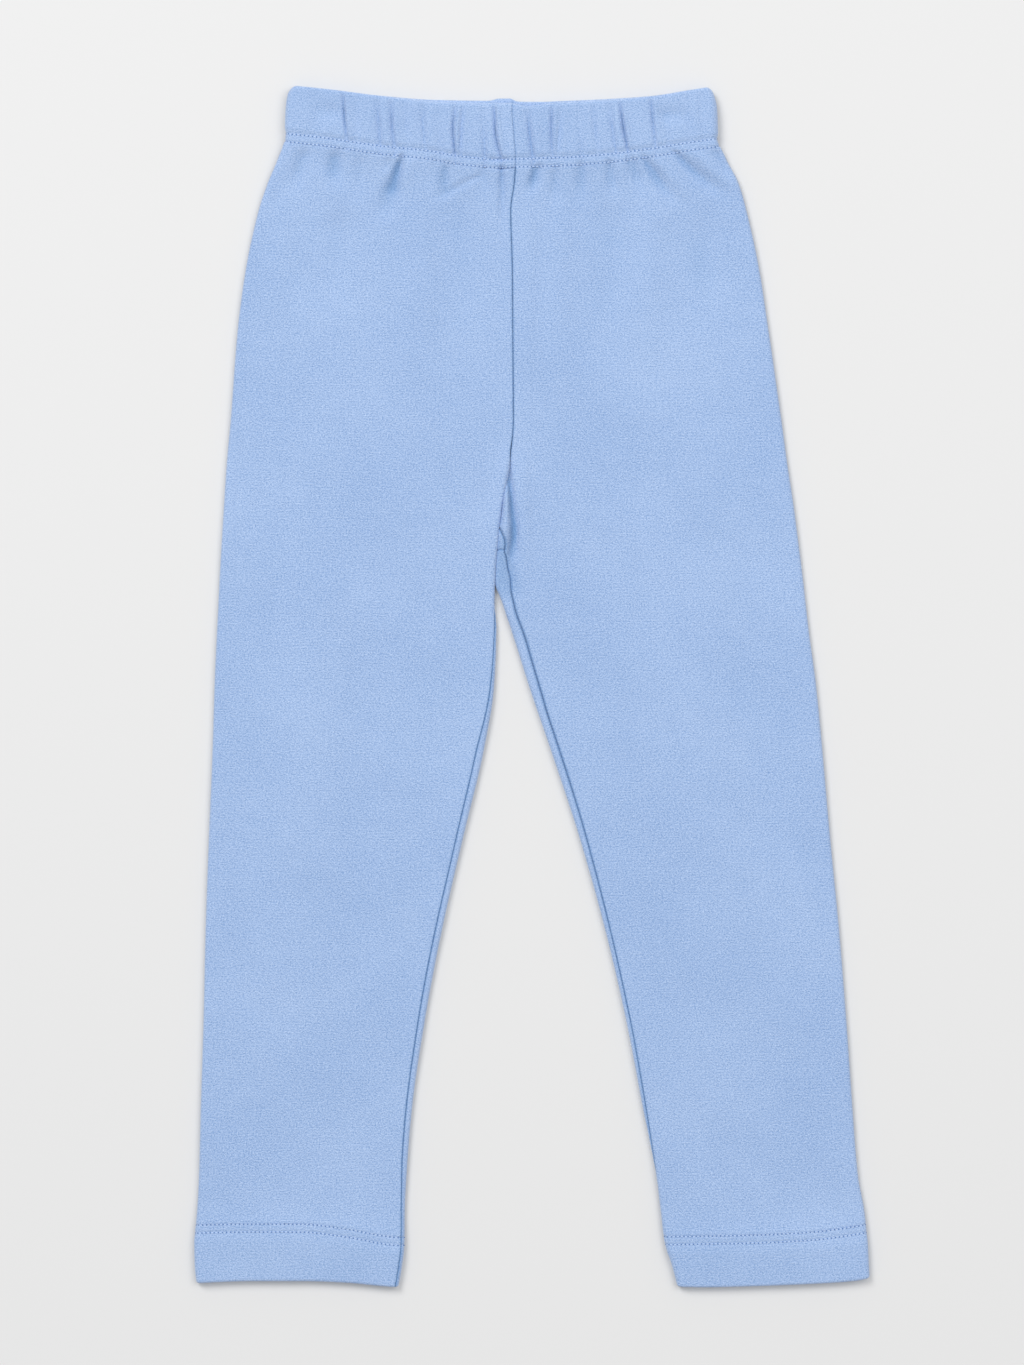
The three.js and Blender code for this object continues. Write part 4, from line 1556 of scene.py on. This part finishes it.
@dataclass
class Stitching:
    """One row of a twin needle: the thread shows from each needle hole to the next.

    Attributes:
        name: The row's name.
        panel: The cloth that it lies on.
        line: Where it runs.
        width: The thread's width.
        height: The thread's height.
        hole: The radius of a needle hole's dimple.
        hole_depth: Its depth.
        hole_rise: How far its rim stands over the line.
        rise: How far the thread's middle does.
        bow: How far the thread's ends dip below its crown.
        dive: Shares of half a stitch over which the thread dives into its hole and is painted dark, in the
            hole's painted shade.
    """

    name: str
    panel: Panel
    line: Line
    width: float = 0.55
    height: float = 0.3
    # hole: The radius of a needle hole's dimple, drawn as a disc painted in its shade.
    hole: float = 0.36
    hole_depth: float = 0.1
    hole_rise: float = 0.14
    rise: float = 0.11
    bow: float = 0.2
    dive: tuple[float, float] = (0.55, 0.95)

    def stitch(self) -> bpy.types.Object:
        """One stitch at the origin, along X and proud of the XY plane, with a needle hole at its start, a
        disc of painted shade.

        Returns:
            The stitch.
        """
        bpy.ops.object.select_all(action="DESELECT")
        lying = (0, math.pi / 2, 0)
        bpy.ops.mesh.primitive_uv_sphere_add(segments=8, ring_count=6, radius=0.5, rotation=lying)
        bpy.ops.object.transform_apply(rotation=True)
        thread = bpy.context.object
        thread.scale = (STITCH, self.width, self.height)
        bpy.ops.object.transform_apply(scale=True)
        along = [2 * abs(v.co.x) / STITCH for v in thread.data.vertices]
        for vertex, share in zip(thread.data.vertices, along):
            vertex.co.z += self.rise - self.bow * share**2
        # painted shade: the thread darkens towards its ends, where it dives into the holes
        sunk = thread.data.attributes.new(PAINTED_HOLE_ATTR, "FLOAT", "POINT")
        sunk.data.foreach_set("value", smooth(np.array(along), *self.dive))
        bpy.ops.mesh.primitive_cylinder_add(vertices=8, radius=self.hole, depth=self.hole_depth)
        hole = bpy.context.object
        hole.data.transform(Matrix.Translation((-STITCH / 2, 0, self.hole_rise - self.hole_depth / 2)))
        # painted shade: the needle hole is a disc painted wholly dark
        sunk = hole.data.attributes.new(PAINTED_HOLE_ATTR, "FLOAT", "POINT")
        sunk.data.foreach_set("value", np.ones(len(hole.data.vertices)))
        select_only(thread, hole)
        bpy.ops.object.join()
        thread.data.transform(Matrix.Scale(MM, 4))
        return thread

    def build(self) -> bpy.types.Object:
        """Sews the row.

        Returns:
            The row as one piece.
        """
        points, normals = self.panel.run(self.line)
        steps = np.linalg.norm(np.diff(points, axis=0), axis=1)
        along = np.concatenate([[0], np.cumsum(steps)])
        count = round(along[-1] / STITCH)
        ends = np.linspace(0, along[-1], count + 1)
        places = np.stack([np.interp(ends, along, axis) for axis in points.T], axis=1)
        facing = np.stack([np.interp(ends, along, axis) for axis in normals.T], axis=1)
        stitch = self.stitch()
        copies = []
        for start, end, normal in zip(places[:-1], places[1:], (facing[:-1] + facing[1:]) / 2):
            forward = Vector(end - start).normalized()
            across = Vector(normal).cross(forward).normalized()
            turned = Matrix((forward, across, forward.cross(across))).transposed().to_4x4()
            copy = bpy.data.objects.new(self.name, stitch.data.copy())
            copy.data.transform(Matrix.Translation(Vector((start + end) / 2) * MM) @ turned)
            bpy.context.collection.objects.link(copy)
            copies.append(copy)
        bpy.data.objects.remove(stitch)
        select_only(*copies)
        bpy.ops.object.join()
        row = bpy.context.object
        for vertex in row.data.vertices:
            vertex.co.z = max(vertex.co.z, 0)
        row.name = self.name
        row.data.name = self.name
        bpy.ops.object.shade_smooth()
        return row


class Studio:
    """The pale floor, the soft light and the camera over the garment."""

    FLOOR_SIZE = 120.0
    LENS = 135.0
    SENSOR = 36.0
    LONG_SIDE_PIXELS = 1365
    PIXEL = 0.49  # millimetres of the garment in one pixel of the photograph
    VIEW_CENTRE = (-9.8, 1.7)
    LAMPS = Table("x y z size power", (-1900, 2300, 3200, 2300, 98), (1900, 1000, 3300, 2900, 50))
    SKY = 0.54

    def build(self) -> None:
        """Lays the floor, hangs the lights and sets the camera."""
        self.lay_floor()
        self.light()
        self.aim()

    def lay_floor(self) -> None:
        """Lays the floor that the garment lies on."""
        bpy.ops.object.select_all(action="DESELECT")
        bpy.ops.mesh.primitive_plane_add(size=self.FLOOR_SIZE)
        floor = bpy.context.object
        floor.name = "floor"
        floor.data.materials.append(SeamlessPaper().material())

    def light(self) -> None:
        """Lights it with a soft lamp from the upper left, a weaker one from the right and an even sky."""
        world = bpy.data.worlds.new("studio")
        world.use_nodes = True
        world.node_tree.nodes["Background"].inputs["Color"].default_value = (1, 1, 1, 1)
        world.node_tree.nodes["Background"].inputs["Strength"].default_value = self.SKY
        bpy.context.scene.world = world
        for lamp in self.LAMPS.rows():
            place = Vector((lamp["x"], lamp["y"], lamp["z"])) * MM
            turned = place.to_track_quat("Z", "Y").to_euler()
            bpy.ops.object.light_add(type="AREA", location=place, rotation=turned)
            softbox = bpy.context.object
            softbox.name = "softbox"
            softbox.data.shape = "DISK"
            softbox.data.size = lamp["size"] * MM
            softbox.data.energy = lamp["power"]
        bpy.context.scene.view_settings.view_transform = "Standard"

    def aim(self) -> None:
        """Sets the camera straight over the garment, at the photograph's scale."""
        distance = self.LONG_SIDE_PIXELS * self.PIXEL * self.LENS / self.SENSOR + LEG_HEIGHT
        bpy.ops.object.camera_add(location=Vector((*self.VIEW_CENTRE, distance)) * MM)
        camera = bpy.context.object
        camera.name = "camera"
        camera.data.lens = self.LENS
        camera.data.sensor_width = self.SENSOR
        camera.data.clip_end = 500
        bpy.context.scene.camera = camera


@dataclass(frozen=True)
class Cut:
    """The flat piece that a sheet is cut from.

    Attributes:
        width: Across the wales, in millimetres.
        length: Along them.
        area: Its area in square millimetres.
        held: How it lies in the garment.
    """

    width: float
    length: float
    area: float
    held: str


@dataclass
class Leggings:
    """The whole garment: each half's leg, waist casing and hem, and the rows of stitches on them.

    Attributes:
        cloth: The knit's finish.
        thread: The thread's finish.
    """

    cloth: CottonInterlock = field(default_factory=CottonInterlock)
    thread: SewingThread = field(default_factory=SewingThread)

    def build(self) -> None:
        """Builds both halves."""
        cloth = self.cloth.material()
        thread = self.thread.material()
        for half in (RIGHT, LEFT):
            leg = Leg(half)
            casing = WaistCasing(half)
            hem = Hem(half)
            self.lay(leg, "leg", cloth)
            self.lay(casing, "waist_casing", cloth)
            self.lay(hem, "hem", cloth)
            self.sew(casing, "waist_upper", waist_row, thread)
            self.sew(casing, "waist_lower", lambda x, front: casing_foot(x, front) + ROW_INSET, thread)
            self.sew(hem, "hem_upper", lambda x, front: leg_foot(x, front) - ROW_INSET, thread)
            self.sew(hem, "hem_lower", lambda x, front: leg_foot(x, front) - NEEDLE_GAUGE, thread)

    def lay(self, panel: Panel, node: str, finish: bpy.types.Material) -> None:
        """Builds one piece of cloth and lays it in its node's place.

        Args:
            panel: The cloth.
            node: The node's name after the half's.
            finish: Its material.
        """
        piece = panel.build(node)
        dress(piece, finish)
        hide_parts(f"{panel.half.name}_{node}")
        log.info("%s: %d faces", piece.name, len(piece.data.polygons))

    def sew(self, panel: Panel, place: str, line: Line, finish: bpy.types.Material) -> None:
        """Sews one row of stitches onto a piece of cloth.

        Args:
            panel: The cloth.
            place: The row's place on it.
            line: Where the row runs.
            finish: The thread's material.
        """
        row = Stitching(f"{panel.half.name}_{place}_stitches", panel, line).build()
        dress(row, finish)
        log.info("%s: %d faces", row.name, len(row.data.polygons))


def main() -> None:
    """Builds the garment piece by piece and sets it in the studio."""
    logging.basicConfig(level=logging.INFO, format="%(name)s: %(message)s")
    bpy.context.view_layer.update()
    Leggings().build()
    Studio().build()


if __name__ == "__main__":
    main()
